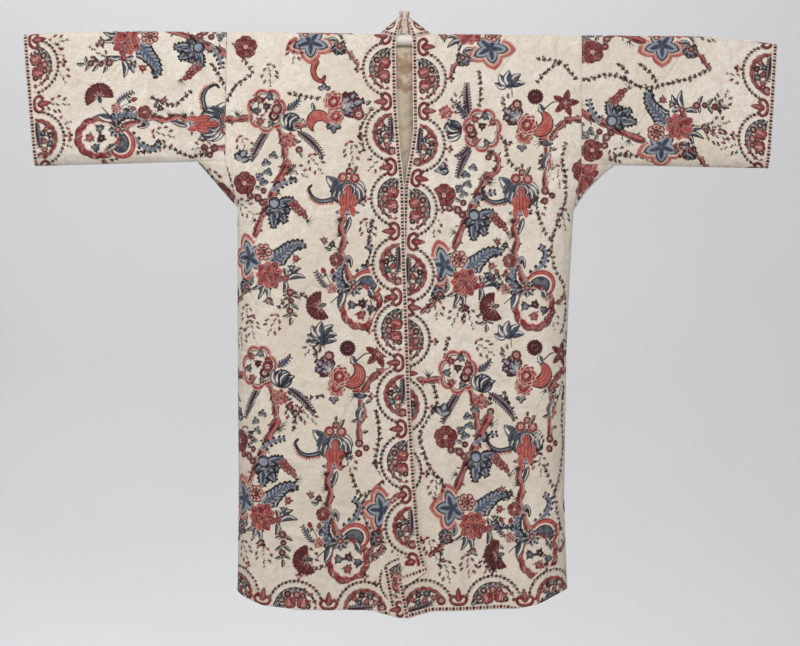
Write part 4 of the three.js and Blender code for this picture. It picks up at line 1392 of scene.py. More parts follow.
GARLANDS = {
    "left_front": [
        [(-375, -15), (-345, -60), (-335, -80), (-370, -105), (-390, -140)],
        [(-252, -123), (-220, -128), (-188, -133)], [(-66, -160), (-96, -196), (-88, -250)],
        [(-390, -290), (-380, -330), (-386, -380), (-376, -420)],
        [(-68, -400), (-76, -446), (-66, -480)], [(-245, -777), (-212, -786), (-172, -782)],
        [(-232, -815), (-236, -860)],
        [(-57, -815), (-49, -863), (-57, -924), (-40, -965), (-78, -1000), (-80, -1045),
         (-57, -1087)], [(-108, -955), (-100, -980), (-86, -1002)],
        [(-97, -1128), (-60, -1136), (-34, -1110)], [(-205, -1170), (-160, -1150), (-130, -1182)],
        [(-270, -590), (-240, -560), (-205, -572), (-190, -610)]],
    "right_front": [
        [(292, -41), (336, -46), (355, -62), (379, -90)], [(290, -92), (312, -66), (336, -50)],
        [(162, -72), (166, -112), (162, -150)],
        [(352, -227), (345, -260), (351, -292), (352, -357), (324, -440), (332, -501),
         (356, -536), (366, -600), (352, -640)], [(291, -380), (308, -420), (322, -440)],
        [(221, -230), (226, -262), (244, -284)], [(205, -205), (215, -222), (232, -226)],
        [(318, -238), (296, -262), (310, -292)], [(100, -655), (92, -690), (110, -720)],
        [(68, -759), (75, -799), (53, -832), (38, -868), (48, -904), (63, -941), (85, -963),
         (92, -989), (66, -1010)], [(190, -786), (222, -782), (238, -812)],
        [(222, -772), (236, -812), (246, -836)],
        [(366, -760), (360, -820), (366, -890), (350, -960), (338, -985), (346, -1030),
         (362, -1080)], [(310, -930), (324, -960), (338, -985)],
        [(92, -1075), (88, -1120), (84, -1150)], [(290, -1178), (312, -1196), (336, -1180)]],
    "left_sleeve": [
        [(-642, -272), (-600, -256), (-560, -252), (-520, -240), (-470, -262), (-430, -250)],
        [(-424, -60), (-400, -96), (-384, -130)], [(-470, -120), (-510, -150), (-560, -130)],
        [(-760, 60), (-700, 90), (-640, 80), (-560, 110)]],
    "right_sleeve": [
        [(345, -45), (392, -86), (440, -74), (480, -83), (524, -102), (579, -92), (630, -78),
         (667, -58)], [(468, -52), (486, -70), (474, -86)], [(516, -52), (540, -72), (552, -92)],
        [(452, -262), (480, -248), (524, -256), (556, -268)],
        [(440, 130), (500, 150), (560, 136), (640, 160)]],
    "back": [
        *[[(x + column, z + row) for x, z in line] for column, row in REPEATS
          for line in REPEAT_GARLANDS],
        [(-60, -60), (-20, -70), (40, -60), (90, -84)],
        [(-380, -180), (-340, -130), (-280, -120), (-230, -140)]],
    "left_gusset": [
        [(-470, -276), (-440, -300), (-410, -350)]],
    "right_gusset": [
        [(395, -330), (420, -310), (470, -300)]],
    "collar": [],
}
PITCH = 143.0                   # from one border medallion to the next
CUFF_REACH = 330                # half the way round a cuff
HIDDEN = 11.0                   # how much of the border is turned under along most of the hem


def hem_path(low, high, column, shown_from=-60, shown_to=280):
    """The line along the hem where the border's edge lies on the flat cut."""
    u = np.arange(low, high, 4.0)
    flat_end = 288
    x = np.where(np.abs(u) < flat_end, u, np.sign(u) * (flat_end + (np.abs(u) - flat_end) * 0.72))
    shown = ease((u - shown_from) / 40) * ease((shown_to - u) / 60)
    return np.stack([u, look_up(HEM_LINE, x, column) - HIDDEN * (1 - shown)], axis=-1)


def cuff_path(name):
    side = SIDES[name]
    v = np.arange(CUFF_REACH, -CUFF_REACH, -4.0)
    ridge = math.pi * TOP_RADIUS
    z = np.where(v < 0, v, np.where(v > ridge, ridge - v, TOP_RADIUS * np.sin(v / TOP_RADIUS)))
    share = (TOP_RADIUS - z) / (TOP_RADIUS - side["sleeve_foot"])
    return np.stack([side["sign"] * mix(side["cuff_top"], side["cuff_foot"], share), v], axis=-1)


def border_left_front(cut):
    z = np.arange(30, -1159, -4.0)
    path = np.stack([look_up(FRONT_EDGES, z, 1), z], axis=-1)
    hem = hem_path(-400, 24, 1)
    along_edge(cut, hem, 1, [(27, "ring"), (99, "trefoil"), (175, "cluster"), (249, "trefoil"),
                             (327, "ring")], 330, 428)
    along_edge(cut, path, -1, [(24, "trefoil"), *border_items(95, 1100, PITCH)], 4, 1186)
    # the pieced corner below the notch
    corner = np.stack([mix(4, 20, np.linspace(0, 1, 24)), np.linspace(-1179, -1264, 24)], axis=-1)
    Pen(cut).bare((-12, -1210, 80, lambda px, py: np.minimum(
        np.minimum(px + 42 - 0.2 * (-1160 - py), 62 - px), np.minimum(-1150 - py, py + 1290))))
    p = Pen(cut, 8, -1176, 97)
    half_medallion(p.at(-6, -4, 0, 0.8), "cluster")
    trefoil(p.at(-66, -4, 0, 0.9))
    along_edge(cut, corner, -1, [], 0, 86)
    notch = np.stack([np.linspace(57, 4, 16), np.linspace(-1161, -1181, 16)], axis=-1)
    along_edge(cut, notch, -1, [], 0, 56)
    double = np.stack([mix(-38, -22, np.linspace(0, 1, 24)), np.linspace(-1156, -1238, 24)],
                      axis=-1)
    along_edge(cut, double, 1, [], 0, 82)


def border_right_front(cut):
    z = np.arange(30, -1250, -4.0)
    path = np.stack([look_up(FRONT_EDGES, z, 2), z], axis=-1)
    along_edge(cut, hem_path(-60, 400, 1), 1,
               [(119, "ring"), (190, "trefoil"), (266, "cluster"), (337, "trefoil"),
                (410, "ring")], 60, 330)
    along_edge(cut, path, 1, [(47, "trefoil"), *border_items(118, 1200, PITCH)], 4, 1270)


def border_back(cut):
    along_edge(cut, hem_path(-404, 404, 2, 900, 901), 1,
               [(45, "trefoil"), *border_items(117, 700, PITCH, "ring")])
    neck = np.array([(x, TOP_RADIUS * math.pi / 2 - 15 - 38 * math.sqrt(max(0, 1 - (x / 66) ** 2)))
                     for x in np.linspace(-66, 66, 40)])
    along_edge(cut, neck[::-1] * (1, 1) + (0, 12), 1, [(80, "cluster")], 0, 150)


def border_cuff(name):
    def draw(cut):
        items = {
            "left": [(61, "cluster"), (223, "ring"), (-102, "ring"), (-264, "cluster"),
                     *[(z, "trefoil") for z in (4, 146, 290, -180, -330)]],
            "right": [(57, "ring"), (204, "cluster"), (-96, "cluster"), (-248, "ring"),
                      *[(z, "trefoil") for z in (-18, 133, 274, -170)]],
        }[name]
        along_edge(cut, cuff_path(name), 1 if name == "left" else -1,
                   [(CUFF_REACH + z, kind) for z, kind in items], 0, 2 * CUFF_REACH - 5)
    return draw


def border_collar(cut):
    end, height = COLLAR["half_length"], float(COLLAR["height"])
    low, high = (np.stack([np.linspace(-way * end, way * end, 60), np.full(60, z)], axis=-1)
                 for way, z in ((1, 0.0), (-1, height)))
    along_edge(cut, low, 1, [(40, "trefoil"), (145, "cluster"), (250, "trefoil"),
                             (93, "ring"), (197, "ring")], 0, 2 * end)
    along_edge(cut, high, 1, [], 0, 2 * end)
    for x, sign in ((-end, 1), (end, -1)):
        side = np.stack([np.full(20, float(x)), np.linspace(height, 0, 20)], axis=-1)
        along_edge(cut, side, sign, [], 0, height)
        page = Pen(cut, x, 0, 0, 1, x > 0)
        for *spray_leaf, ink in ((6, 50, 20, 26, 8, "ink"), (22, 46, 140, 20, 7, "plum"),
                                 (10, 58, -30, 18, 6, "plum")):
            page.mark(grown(*spray_leaf), ink)


BORDERS = {
    "left_front": border_left_front, "right_front": border_right_front, "back": border_back,
    "left_sleeve": border_cuff("left"), "right_sleeve": border_cuff("right"),
    "collar": border_collar,
}


def printed(name, flat):
    """The ink layers of a piece, drawn over the reach of its flat cut."""
    cut = Cut(flat[..., 0].min() - 2, flat[..., 0].max() + 2,
              flat[..., 1].min() - 2, flat[..., 1].max() + 2)
    page = Pen(cut)
    for points in GARLANDS[name]:
        garland(page, points)

    def placed(x, z, turn=0, mirrored=False):
        return page.at(x, z, turn, 1.0, mirrored)
    for motif, *where in LAYOUT.get(name, ()):
        motif(placed(*where))
    for where in SPRIGS.get(name, ()):
        sprig(placed(*where))
    if name in BORDERS:
        BORDERS[name](cut)
    return cut


# ---------------------------------------------------------------- meshes
def outward(points, facing):
    """Ways out of the cloth at the points of a grid, which face a given way on the whole."""
    across, down = np.gradient(points, axis=1), np.gradient(points, axis=0)
    out = np.cross(across, down)
    size = np.linalg.norm(out, axis=-1, keepdims=True)
    out = out / np.maximum(size, 1e-9)
    return out if facing(out, points) > 0 else -out


def run_along(points, axis):
    """Length of cloth from the start of each row (axis 1) or column (axis 0)."""
    steps = np.linalg.norm(np.diff(points, axis=axis), axis=-1)
    pad = [(0, 0), (0, 0)]
    pad[axis] = (1, 0)
    return np.pad(np.cumsum(steps, axis=axis), pad)


def sewn(points, out, edges):
    """Draws the cloth in along its seams and thickens it along its hems.

    edges names each side of the grid (top, foot, start, end) as a seam or a hem."""
    rows, columns = run_along(points, 1), run_along(points, 0)
    gaps = {"start": (rows, columns), "end": (rows[:, -1:] - rows, columns),
            "top": (columns, rows), "foot": (columns[-1:, :] - columns, rows)}
    offset = np.zeros(points.shape[:2])
    for side, kind in edges.items():
        gap, along = gaps[side]
        phase = along / 3.1 + 2.2 * np.sin(along / 23) + len(side)
        waver = 0.5 + 0.5 * np.sin(along / 41 + 2 * len(side))
        if kind == "seam":
            offset -= 0.8 * np.exp(-(gap / 2.6) ** 2)
            offset += 0.55 * waver * np.sin(phase) * np.exp(-gap / 9)
        else:
            offset += 0.45 * (1 - ease((gap - 9) / 3))
            offset -= 0.35 * np.exp(-((gap - 9.6) / 1.8) ** 2)
            offset += 0.4 * waver * np.sin(phase * 0.8) * np.exp(-((gap - 10) / 7) ** 2)
    return points + out * offset[..., None]


def wall(name, points, flat, facing, edges, step, thickness, cut):
    """A closed wall of cloth from a grid: fine outside, coarser inside."""
    out = outward(points, facing)
    points = sewn(points, out, edges)
    out = outward(points, facing)
    rows, columns = points.shape[:2]
    inner = (points - out * thickness / MM)[::step[0], ::step[1]]
    inner_flat = flat[::step[0], ::step[1]]
    low_rows, low_columns = inner.shape[:2]
    count = rows * columns

    def quads(r, c, base):
        i, j = np.meshgrid(np.arange(r - 1), np.arange(c - 1), indexing="ij")
        a = base + i * c + j
        return np.stack([a, a + 1, a + c + 1, a + c], axis=-1).reshape(-1, 4)
    fine, coarse = quads(rows, columns, 0), quads(low_rows, low_columns, count)
    mid = (rows // 2, columns // 2)
    turned = np.cross(points[mid[0], mid[1] + 1] - points[mid],
                      points[mid[0] + 1, mid[1]] - points[mid])
    faces_out = float(np.dot(turned, out[mid])) > 0
    outer_faces = fine if faces_out else fine[:, ::-1]
    inner_faces = coarse[:, ::-1] if faces_out else coarse

    ring = ([(0, j) for j in range(columns - 1)] + [(i, columns - 1) for i in range(rows - 1)]
            + [(rows - 1, j) for j in range(columns - 1, 0, -1)]
            + [(i, 0) for i in range(rows - 1, 0, -1)])
    outer_ring = [i * columns + j for i, j in ring]
    inner_ring = [count + int(i / step[0] + 0.5) * low_columns + int(j / step[1] + 0.5)
                  for i, j in ring]
    rim = []
    for k, (a, b) in enumerate(zip(outer_ring, inner_ring)):
        c, d = outer_ring[(k + 1) % len(ring)], inner_ring[(k + 1) % len(ring)]
        face = [a, b, c] if b == d else [a, b, d, c]
        rim.append(face if faces_out else face[::-1])
    vertices = np.concatenate([points.reshape(-1, 3), inner.reshape(-1, 3)]) * MM
    mesh = bpy.data.meshes.new(name + "_cloth")
    mesh.from_pydata(vertices.tolist(), [], outer_faces.tolist() + inner_faces.tolist() + rim)
    mesh.shade_smooth()
    place = np.concatenate([flat.reshape(-1, 2), inner_flat.reshape(-1, 2)])
    for ink in INKS:
        values = cut.read(ink, place[:, 0], place[:, 1]).astype(np.float32)
        mesh.attributes.new(ink, "FLOAT", "POINT").data.foreach_set("value", values)
    faced = 0.2 if name == "collar" else 1.0
    lining = np.concatenate([np.zeros(count), np.full(len(inner.reshape(-1, 3)), faced)])
    mesh.attributes.new("lining", "FLOAT", "POINT").data.foreach_set(
        "value", lining.astype(np.float32))
    corners = np.zeros(len(mesh.loops), np.int32)
    mesh.loops.foreach_get("vertex_index", corners)
    uv = (place[corners] * MM).astype(np.float32)
    mesh.uv_layers.new(name="cut").data.foreach_set("uv", uv.ravel())
    piece = bpy.data.objects.new(name + "_cloth", mesh)
    bpy.context.scene.collection.objects.link(piece)
    return piece, points, out


def line_beside(points, out, side, gap, lift=0.2):
    """A line on a piece at a distance in from one side of its grid, just clear of the cloth."""
    axis = 1 if side in ("start", "end") else 0
    grid, ways = (points, out) if axis == 1 else (points.swapaxes(0, 1), out.swapaxes(0, 1))
    if side in ("end", "foot"):
        grid, ways = grid[:, ::-1], ways[:, ::-1]
    runs = run_along(grid, 1)
    line = []
    for k in range(0, len(grid), 2):
        at = [np.interp(gap, runs[k], grid[k, :, i] + lift * ways[k, :, i]) for i in range(3)]
        line.append(at)
    return np.array(line)


# ---------------------------------------------------------------- shader graph
class Wire:
    """An output socket that takes part in sums as a number does."""

    def __init__(self, graph, socket):
        self.graph, self.socket = graph, socket

    def _with(self, operation, *values):
        return self.graph.node("ShaderNodeMath", {"operation": operation}, dict(enumerate(values)))

    def __add__(self, other):
        return self._with("ADD", self, other)

    def __sub__(self, other):
        return self._with("SUBTRACT", self, other)

    def __rsub__(self, other):
        return self._with("SUBTRACT", other, self)

    def __mul__(self, other):
        return self._with("MULTIPLY", self, other)

    def __truediv__(self, other):
        return self._with("DIVIDE", self, other)

    __radd__, __rmul__ = __add__, __mul__

    def sin(self):
        return self._with("SINE", self)

    def max(self, other):
        return self._with("MAXIMUM", self, other)

    def step(self, low, high):
        return self.graph.node("ShaderNodeMapRange", {"interpolation_type": "SMOOTHSTEP"},
                               {"Value": self, "From Min": low, "From Max": high})


class Graph:
    """Builds a material's nodes."""

    def __init__(self, name):
        self.material = bpy.data.materials.new(name)
        self.material.use_nodes = True
        self.tree = self.material.node_tree
        self.shader = self.tree.nodes["Principled BSDF"]

    def node(self, kind, settings=None, values=None, output=0):
        node = self.tree.nodes.new(kind)
        for key, value in (settings or {}).items():
            setattr(node, key, value)
        for key, value in (values or {}).items():
            self.join(value, node.inputs[key])
        return Wire(self, node.outputs[output])

    def join(self, value, socket):
        if isinstance(value, Wire):
            self.tree.links.new(value.socket, socket)
        else:
            socket.default_value = value

    def set(self, **values):
        for name, value in values.items():
            self.join(value, self.shader.inputs[name.replace("_", " ")])

    def attribute(self, name):
        return self.node("ShaderNodeAttribute", {"attribute_name": name}, output="Fac")

    def objects(self):
        return self.node("ShaderNodeTexCoord", output="Object")

    def noise(self, vector, scale, detail=2.0, roughness=0.5):
        return self.node("ShaderNodeTexNoise", None,
                         {"Vector": vector, "Scale": scale, "Detail": detail,
                          "Roughness": roughness})

    def stretched(self, vector, scale):
        return self.node("ShaderNodeMapping", None, {"Vector": vector, "Scale": scale})

    def blend(self, factor, first, second):
        return self.node("ShaderNodeMix", {"data_type": "RGBA"},
                         {"Factor": factor, 6: first, 7: second}, output=2)

    def bump(self, height, distance, strength=1.0):
        return self.node("ShaderNodeBump", None,
                         {"Height": height, "Distance": distance, "Strength": strength})


def tone(red, green, blue):
    """A colour from its sRGB values out of 255."""
    def linear(value):
        value /= 255
        return value / 12.92 if value <= 0.04045 else ((value + 0.055) / 1.055) ** 2.4
    return linear(red), linear(green), linear(blue), 1.0


def cotton_material(colours, cloth):
    """Glazed cotton with its printed inks, age, stains and weave, painted shade lower down, and an
    inside painted paler against its shade.
    """
    g = Graph("printed_cotton")
    spot, cut = g.objects(), g.node("ShaderNodeUVMap", {"uv_map": "cut"})
    lining = g.attribute("lining")
    broad, cloudy, fine = g.noise(spot, 3.1, 3), g.noise(spot, 17.0, 4), g.noise(spot, 240.0, 2)
    # low: painted shade, the outside blended more and more towards the aged tone towards the hem
    low = 1 - g.node("ShaderNodeSeparateXYZ", None, {"Vector": spot}, output=2).step(-1.25, 0.0)
    colour = g.blend((broad.step(0.42, 0.72) * 0.45 + low * 0.35) * (1 - lining) + lining * 0.1,
                     colours.ground, colours.aged_and_shade)
    colour = g.blend(cloudy.step(0.42, 0.74) * 0.38, colour, colours.aged_and_shade)
    mottle = (g.noise(spot, 62.0, 2).step(0.36, 0.64) * 0.3
              + g.noise(spot, 210.0, 2).step(0.36, 0.64) * 0.45)
    colour = g.blend(mottle, colour, colours.aged_and_shade)
    threads = g.noise(g.stretched(cut, (90, 2600, 1)), 1.0, 2) + g.noise(
        g.stretched(cut, (2600, 90, 1)), 1.0, 2)
    colour = g.blend(threads.step(1.05, 1.5) * 0.16, colour, colours.slub)
    # The inside: a yellower cloth, painted paler than it is to offset the shade inside the gown,
    # and kept off most of the aged tone above for the same reason
    colour = g.blend(lining * 0.6, colour, colours.lining)
    ragged = (g.noise(spot, 620.0, 2) - 0.5) * 1.1
    worn = 1.0 - g.noise(spot, 46.0, 4).step(0.5, 0.85) * 0.2 - fine.step(0.55, 0.9) * 0.1
    shown = worn * (1 - lining * 0.8)
    brushed = 0.84 + g.noise(spot, 95.0, 2).step(0.35, 0.65) * 0.16
    for ink in INKS:
        inside = g.attribute(ink) + ragged
        if ink in ("coral", "rose"):
            colour = g.blend(inside.step(-4.5, 0.5) * shown * 0.22, colour, colours.blush)
        strength = shown if ink in ("ink", "plum") else shown * brushed
        colour = g.blend((inside + (0.35 if ink == "ink" else 0.1)).step(-0.8, 0.8) * strength,
                         colour, getattr(colours, ink))
    stain = g.noise(g.stretched(spot, (1, 1, 0.8)), 9.0, 5).step(0.70, 0.80)
    inside = g.noise(spot, 22.0, 5).step(0.57, 0.66) * lining
    colour = g.blend(stain * 0.10 + inside * 0.55, colour, colours.stain)
    pitch = 2 * math.pi / cloth.thread
    axes = [g.node("ShaderNodeSeparateXYZ", None, {"Vector": cut}, output=k) for k in (0, 1)]
    weave = (axes[0] * pitch).sin() * (axes[1] * pitch).sin()
    creases = g.noise(g.stretched(spot, (1, 1, 0.55)), 26.0, 3, 0.45)
    wrinkled = g.noise(g.stretched(spot, (1, 1, 0.6)), 8.0, 2, 0.4) - 0.5
    wrinkles = wrinkled.max(wrinkled * -1).step(0.0, 0.035)
    relief = weave * 0.00004 + threads * 0.00014 + creases * 0.009 + (
        g.noise(spot, 75.0, 3) * 0.0030 + wrinkles * 0.0016)
    g.set(Base_Color=colour, Roughness=0.66 + fine * 0.16 + lining * 0.1,
          Normal=g.bump(relief, 1.0, 0.85))
    g.set(Sheen_Weight=0.12, Sheen_Roughness=0.45, Specular_IOR_Level=0.32)
    return g.material


def thread_material(colours):
    g = Graph("sewing_thread")
    spot = g.objects()
    ply = (g.node("ShaderNodeSeparateXYZ", None, {"Vector": spot}, output=2) * 9000).sin()
    colour = g.blend(g.noise(spot, 160.0, 2).step(0.35, 0.7), colours.ground, colours.aged_and_shade)
    g.set(Base_Color=colour, Roughness=0.7 + ply * 0.05, Normal=g.bump(ply, 0.00006, 0.5))
    g.set(Sheen_Weight=0.2)
    return g.material


def rod_material(colours):
    """Wood under worn off-white paint, its grain along the rod."""
    g = Graph("painted_rod")
    spot = g.objects()
    grain = g.noise(g.stretched(spot, (7, 160, 160)), 1.0, 5, 0.6)
    worn = g.noise(spot, 34.0, 4).step(0.62, 0.78)
    colour = g.blend(grain.step(0.35, 0.75) * 0.3, colours.rod, colours.aged_and_shade)
    colour = g.blend(worn * 0.35, colour, colours.wood)
    g.set(Base_Color=colour, Roughness=0.42 + grain * 0.25, Normal=g.bump(grain, 0.0004, 0.6))
    return g.material


def stage_material(stage):
    g = Graph("seamless_paper")
    spot = g.objects()
    colour = g.blend(g.noise(spot, 1.4, 2).step(0.3, 0.8) * 0.25, stage.paper, stage.shade)
    g.set(Base_Color=colour, Roughness=0.92, Normal=g.bump(g.noise(spot, 300.0, 2), 0.0004, 0.3))
    g.set(Specular_IOR_Level=0.1)
    return g.material


# ---------------------------------------------------------------- stitches
def stitch_tree():
    """Stitches a gap apart along the lines of a mesh."""
    tree = bpy.data.node_groups.new("running_stitches", "GeometryNodeTree")
    face = tree.interface
    face.new_socket("Geometry", in_out="INPUT", socket_type="NodeSocketGeometry")
    for name in ("Gap", "Length", "Thickness", "Waver"):
        face.new_socket(name, in_out="INPUT", socket_type="NodeSocketFloat")
    face.new_socket("Seed", in_out="INPUT", socket_type="NodeSocketInt")
    face.new_socket("Thread", in_out="INPUT", socket_type="NodeSocketMaterial")
    face.new_socket("Geometry", in_out="OUTPUT", socket_type="NodeSocketGeometry")

    def node(kind, values=None, **settings):
        made = tree.nodes.new(kind)
        for key, value in settings.items():
            setattr(made, key, value)
        for key, value in (values or {}).items():
            if isinstance(value, bpy.types.NodeSocket):
                tree.links.new(value, made.inputs[key])
            else:
                made.inputs[key].default_value = value
        return made
    given = node("NodeGroupInput").outputs
    curve = node("GeometryNodeMeshToCurve", {"Mesh": given["Geometry"]})
    spots = node("GeometryNodeCurveToPoints", {"Curve": curve.outputs["Curve"],
                                               "Length": given["Gap"]}, mode="LENGTH")
    bead = node("GeometryNodeMeshUVSphere", {"Segments": 6, "Rings": 4, "Radius": 0.5})
    size = node("ShaderNodeCombineXYZ", {"X": given["Thickness"], "Y": given["Thickness"],
                                         "Z": given["Length"]})
    shaped = node("GeometryNodeTransform", {"Geometry": bead.outputs["Mesh"],
                                            "Scale": size.outputs["Vector"]})
    aligned = node("FunctionNodeAlignRotationToVector", {"Vector": spots.outputs["Tangent"]},
                   axis="Z")
    low = node("ShaderNodeMath", {0: 0.0, 1: given["Waver"]}, operation="SUBTRACT")
    sway = node("FunctionNodeRandomValue", {"Min": low.outputs[0], "Max": given["Waver"],
                                            "Seed": given["Seed"]}, data_type="FLOAT_VECTOR")
    swayed = node("FunctionNodeRotateRotation", {"Rotation": aligned.outputs["Rotation"],
                                                 "Rotate By": sway.outputs["Value"]})
    longer = node("FunctionNodeRandomValue", {2: 0.8, 3: 1.15, "Seed": given["Seed"]},
                  data_type="FLOAT")
    placed = node("GeometryNodeInstanceOnPoints", {
        "Points": spots.outputs["Points"], "Instance": shaped.outputs["Geometry"],
        "Rotation": swayed.outputs["Rotation"], "Scale": longer.outputs[1]})
    real = node("GeometryNodeRealizeInstances", {"Geometry": placed.outputs["Instances"]})
    done = node("GeometryNodeSetMaterial", {"Geometry": real.outputs["Geometry"],
                                            "Material": given["Thread"]})
    node("NodeGroupOutput", {"Geometry": done.outputs["Geometry"]})
    return tree


def sew(name, lines, cloth, material):
    """One mesh of stitches along all the lines."""
    vertices, links = [], []
    for line in lines:
        start = len(vertices)
        vertices += (line * MM).tolist()
        links += [(start + k, start + k + 1) for k in range(len(line) - 1)]
    mesh = bpy.data.meshes.new(name + "_lines")
    mesh.from_pydata(vertices, links, [])
    holder = bpy.data.objects.new(name + "_lines", mesh)
    bpy.context.scene.collection.objects.link(holder)
    modifier = holder.modifiers.new("stitches", "NODES")
    modifier.node_group = stitch_tree()
    values = {"Gap": cloth.stitch_gap, "Length": cloth.stitch_length,
              "Thickness": cloth.stitch_thickness, "Waver": 0.14, "Seed": 7, "Thread": material}
    for item in modifier.node_group.interface.items_tree:
        if item.item_type == "SOCKET" and item.in_out == "INPUT" and item.name in values:
            modifier[item.identifier] = values[item.name]
    evaluated = holder.evaluated_get(bpy.context.evaluated_depsgraph_get())
    made = bpy.data.meshes.new_from_object(evaluated)
    holder.modifiers.clear()
    bpy.data.objects.remove(holder)
    if not made.polygons:
        raise RuntimeError("no stitches were made")
    made.shade_smooth()
    stitches = bpy.data.objects.new(name, made)
    bpy.context.scene.collection.objects.link(stitches)
    return stitches


# ---------------------------------------------------------------- properties
def colour_of(name, words, value):
    return bpy.props.FloatVectorProperty(name=name, description=words, subtype="COLOR", size=4,
                                         min=0, max=1, default=value)


def length_of(name, words, value):
    return bpy.props.FloatProperty(name=name, description=words, default=value, min=0,
                                   unit="LENGTH", precision=5)


def power_of(name, words, value):
    return bpy.props.FloatProperty(name=name, description=words, default=value, min=0,
                                   unit="POWER")


class BanyanColours(bpy.types.PropertyGroup):
    """Colours of the cloth, its inks and the rod."""
    ground: colour_of("Ground", "Unprinted cotton", tone(242, 234, 224))
    # Yellowed cotton, also painted as shade on the lower part of the gown
    aged_and_shade: colour_of("Aged", "Yellowed cotton", tone(214, 199, 177))
    # Yellower cloth of the inside, painted paler than it is to offset the shade inside the gown
    lining: colour_of("Lining", "Unglazed cloth of the inside", tone(250, 234, 200))
    slub: colour_of("Slub", "Thicker threads of the weave", tone(206, 195, 178))
    stain: colour_of("Stain", "Old brown stains", tone(160, 88, 58))
    blush: colour_of("Blush", "Palest red ink", tone(212, 150, 136))
    coral: colour_of("Coral", "Orange-red ink", tone(176, 58, 50))
    rose: colour_of("Rose", "Madder-red ink", tone(128, 28, 36))
    plum: colour_of("Plum", "Purple-brown ink", tone(70, 22, 28))
    sky: colour_of("Sky", "Pale indigo ink", tone(132, 141, 158))
    slate: colour_of("Slate", "Indigo ink", tone(54, 64, 82))
    ink: colour_of("Outline", "Near-black outline ink", tone(34, 22, 26))
    rod: colour_of("Rod", "Paint on the rod", tone(232, 228, 218))
    wood: colour_of("Wood", "Wood where the paint has worn", tone(176, 140, 100))


class BanyanCloth(bpy.types.PropertyGroup):
    """Sizes of the cloth and its sewing."""
    thickness: length_of("Thickness", "Cotton with its facing", 0.0016)
    thread: length_of("Thread", "Width of two threads of the weave", 0.0011)
    stitch_gap: length_of("Stitch gap", "From one stitch to the next", 0.0055)
    stitch_length: length_of("Stitch length", "Length of a stitch", 0.0032)
    stitch_thickness: length_of("Stitch thickness", "Thickness of the thread", 0.0006)


class BanyanStage(bpy.types.PropertyGroup):
    """Backdrop and lights."""
    paper: colour_of("Paper", "Seamless paper", tone(230, 230, 232))
    shade: colour_of("Shade", "Uneven tone of the paper", tone(220, 221, 224))
    key: power_of("Key", "Power of the light above", 24)
    fill: power_of("Fill", "Power of the light in front", 106)
    wall: power_of("Wall", "Power of each light on the paper", 150)
    back: power_of("Back", "Power of the light behind", 100)
    sky: bpy.props.FloatProperty(name="Sky", description="Strength of the even light all round",
                                 default=0.36, min=0)


# ---------------------------------------------------------------- operators
def towards(way):
    return lambda out, points: float((out * np.array(way)).sum())


def from_inside(out, points):
    middle = points.reshape(-1, 3).mean(axis=0) * (1, 0, 1)
    return float((out * (points - middle)).sum())


LINES = []                      # stitched lines, gathered as the pieces are made


def dress(context, name, grid, facing, edges, step, stitched):
    """Makes a piece of cloth over its solid, hides the solid and gathers its stitch lines."""
    scene = context.scene
    points, flat = grid
    piece, points, out = wall(name, points, flat, facing, edges, step,
                              scene.banyan_cloth.thickness, printed(name, flat))
    material = bpy.data.materials.get("printed_cotton") or cotton_material(
        scene.banyan_colours, scene.banyan_cloth)
    piece.data.materials.append(material)
    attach(piece, "root")
    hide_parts(name)
    for side, gap in stitched:
        LINES.append(line_beside(points, out, side, gap))
    return piece


class BANYAN_OT_fronts(bpy.types.Operator):
    """Makes the two fronts."""
    bl_idname = "banyan.fronts"
    bl_label = "Fronts"

    def execute(self, context):
        edges = {"top": "seam", "start": "hem", "end": "seam", "foot": "hem"}
        lines = [("start", 9.6), ("foot", 9.6), ("end", 3.0), ("top", 3.0)]
        for name, face in (("left", "front"), ("right", "under")):
            dress(context, name + "_front", front_grid(name, face), towards((0, -1, 0)), edges,
                  (5, 5), lines)
        return {"FINISHED"}


class BANYAN_OT_back(bpy.types.Operator):
    """Makes the back."""
    bl_idname = "banyan.back"
    bl_label = "Back"

    def execute(self, context):
        dress(context, "back", back_grid(), towards((0, 1, 0)),
              {"top": "seam", "start": "seam", "end": "seam", "foot": "hem"}, (8, 8),
              [("start", 3.0), ("end", 3.0), ("foot", 9.6), ("top", 3.0)])
        return {"FINISHED"}


class BANYAN_OT_sleeves(bpy.types.Operator):
    """Makes the two sleeves."""
    bl_idname = "banyan.sleeves"
    bl_label = "Sleeves"

    def execute(self, context):
        edges = {"top": "seam", "start": "seam", "end": "seam", "foot": "hem"}
        for name, flat_size in (("left", (0.62, 0.45)), ("right", (0.61, 0.43))):
            dress(context, name + "_sleeve", sleeve_grid(name), from_inside, edges, (7, 5),
                  [("top", 3.0), ("foot", 9.6), ("start", 3.0), ("end", 3.0)])
        return {"FINISHED"}


class BANYAN_OT_gussets(bpy.types.Operator):
    """Makes the square gussets under the arms."""
    bl_idname = "banyan.gussets"
    bl_label = "Gussets"

    def execute(self, context):
        edges = {side: "seam" for side in ("top", "start", "end", "foot")}
        for name in SIDES:
            dress(context, name + "_gusset", gusset_grid(name), from_inside, edges, (3, 3),
                  [("top", 2.4), ("start", 2.4)])
        return {"FINISHED"}


class BANYAN_OT_collar(bpy.types.Operator):
    """Makes the stand-up collar."""
    bl_idname = "banyan.collar"
    bl_label = "Collar"

    def execute(self, context):
        edges = {"top": "seam", "foot": "hem", "start": "hem", "end": "hem"}
        dress(context, "collar", collar_grid(), from_inside, edges, (5, 5),
              [("top", 2.6), ("foot", 4.0)])
        return {"FINISHED"}


class BANYAN_OT_stitches(bpy.types.Operator):
    """Makes the stitches along seams, edges and hems."""
    bl_idname = "banyan.stitches"
    bl_label = "Stitches"

    def execute(self, context):
        scene = context.scene
        stitches = sew("stitches", LINES, scene.banyan_cloth, thread_material(scene.banyan_colours))
        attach(stitches, "root")
        return {"FINISHED"}


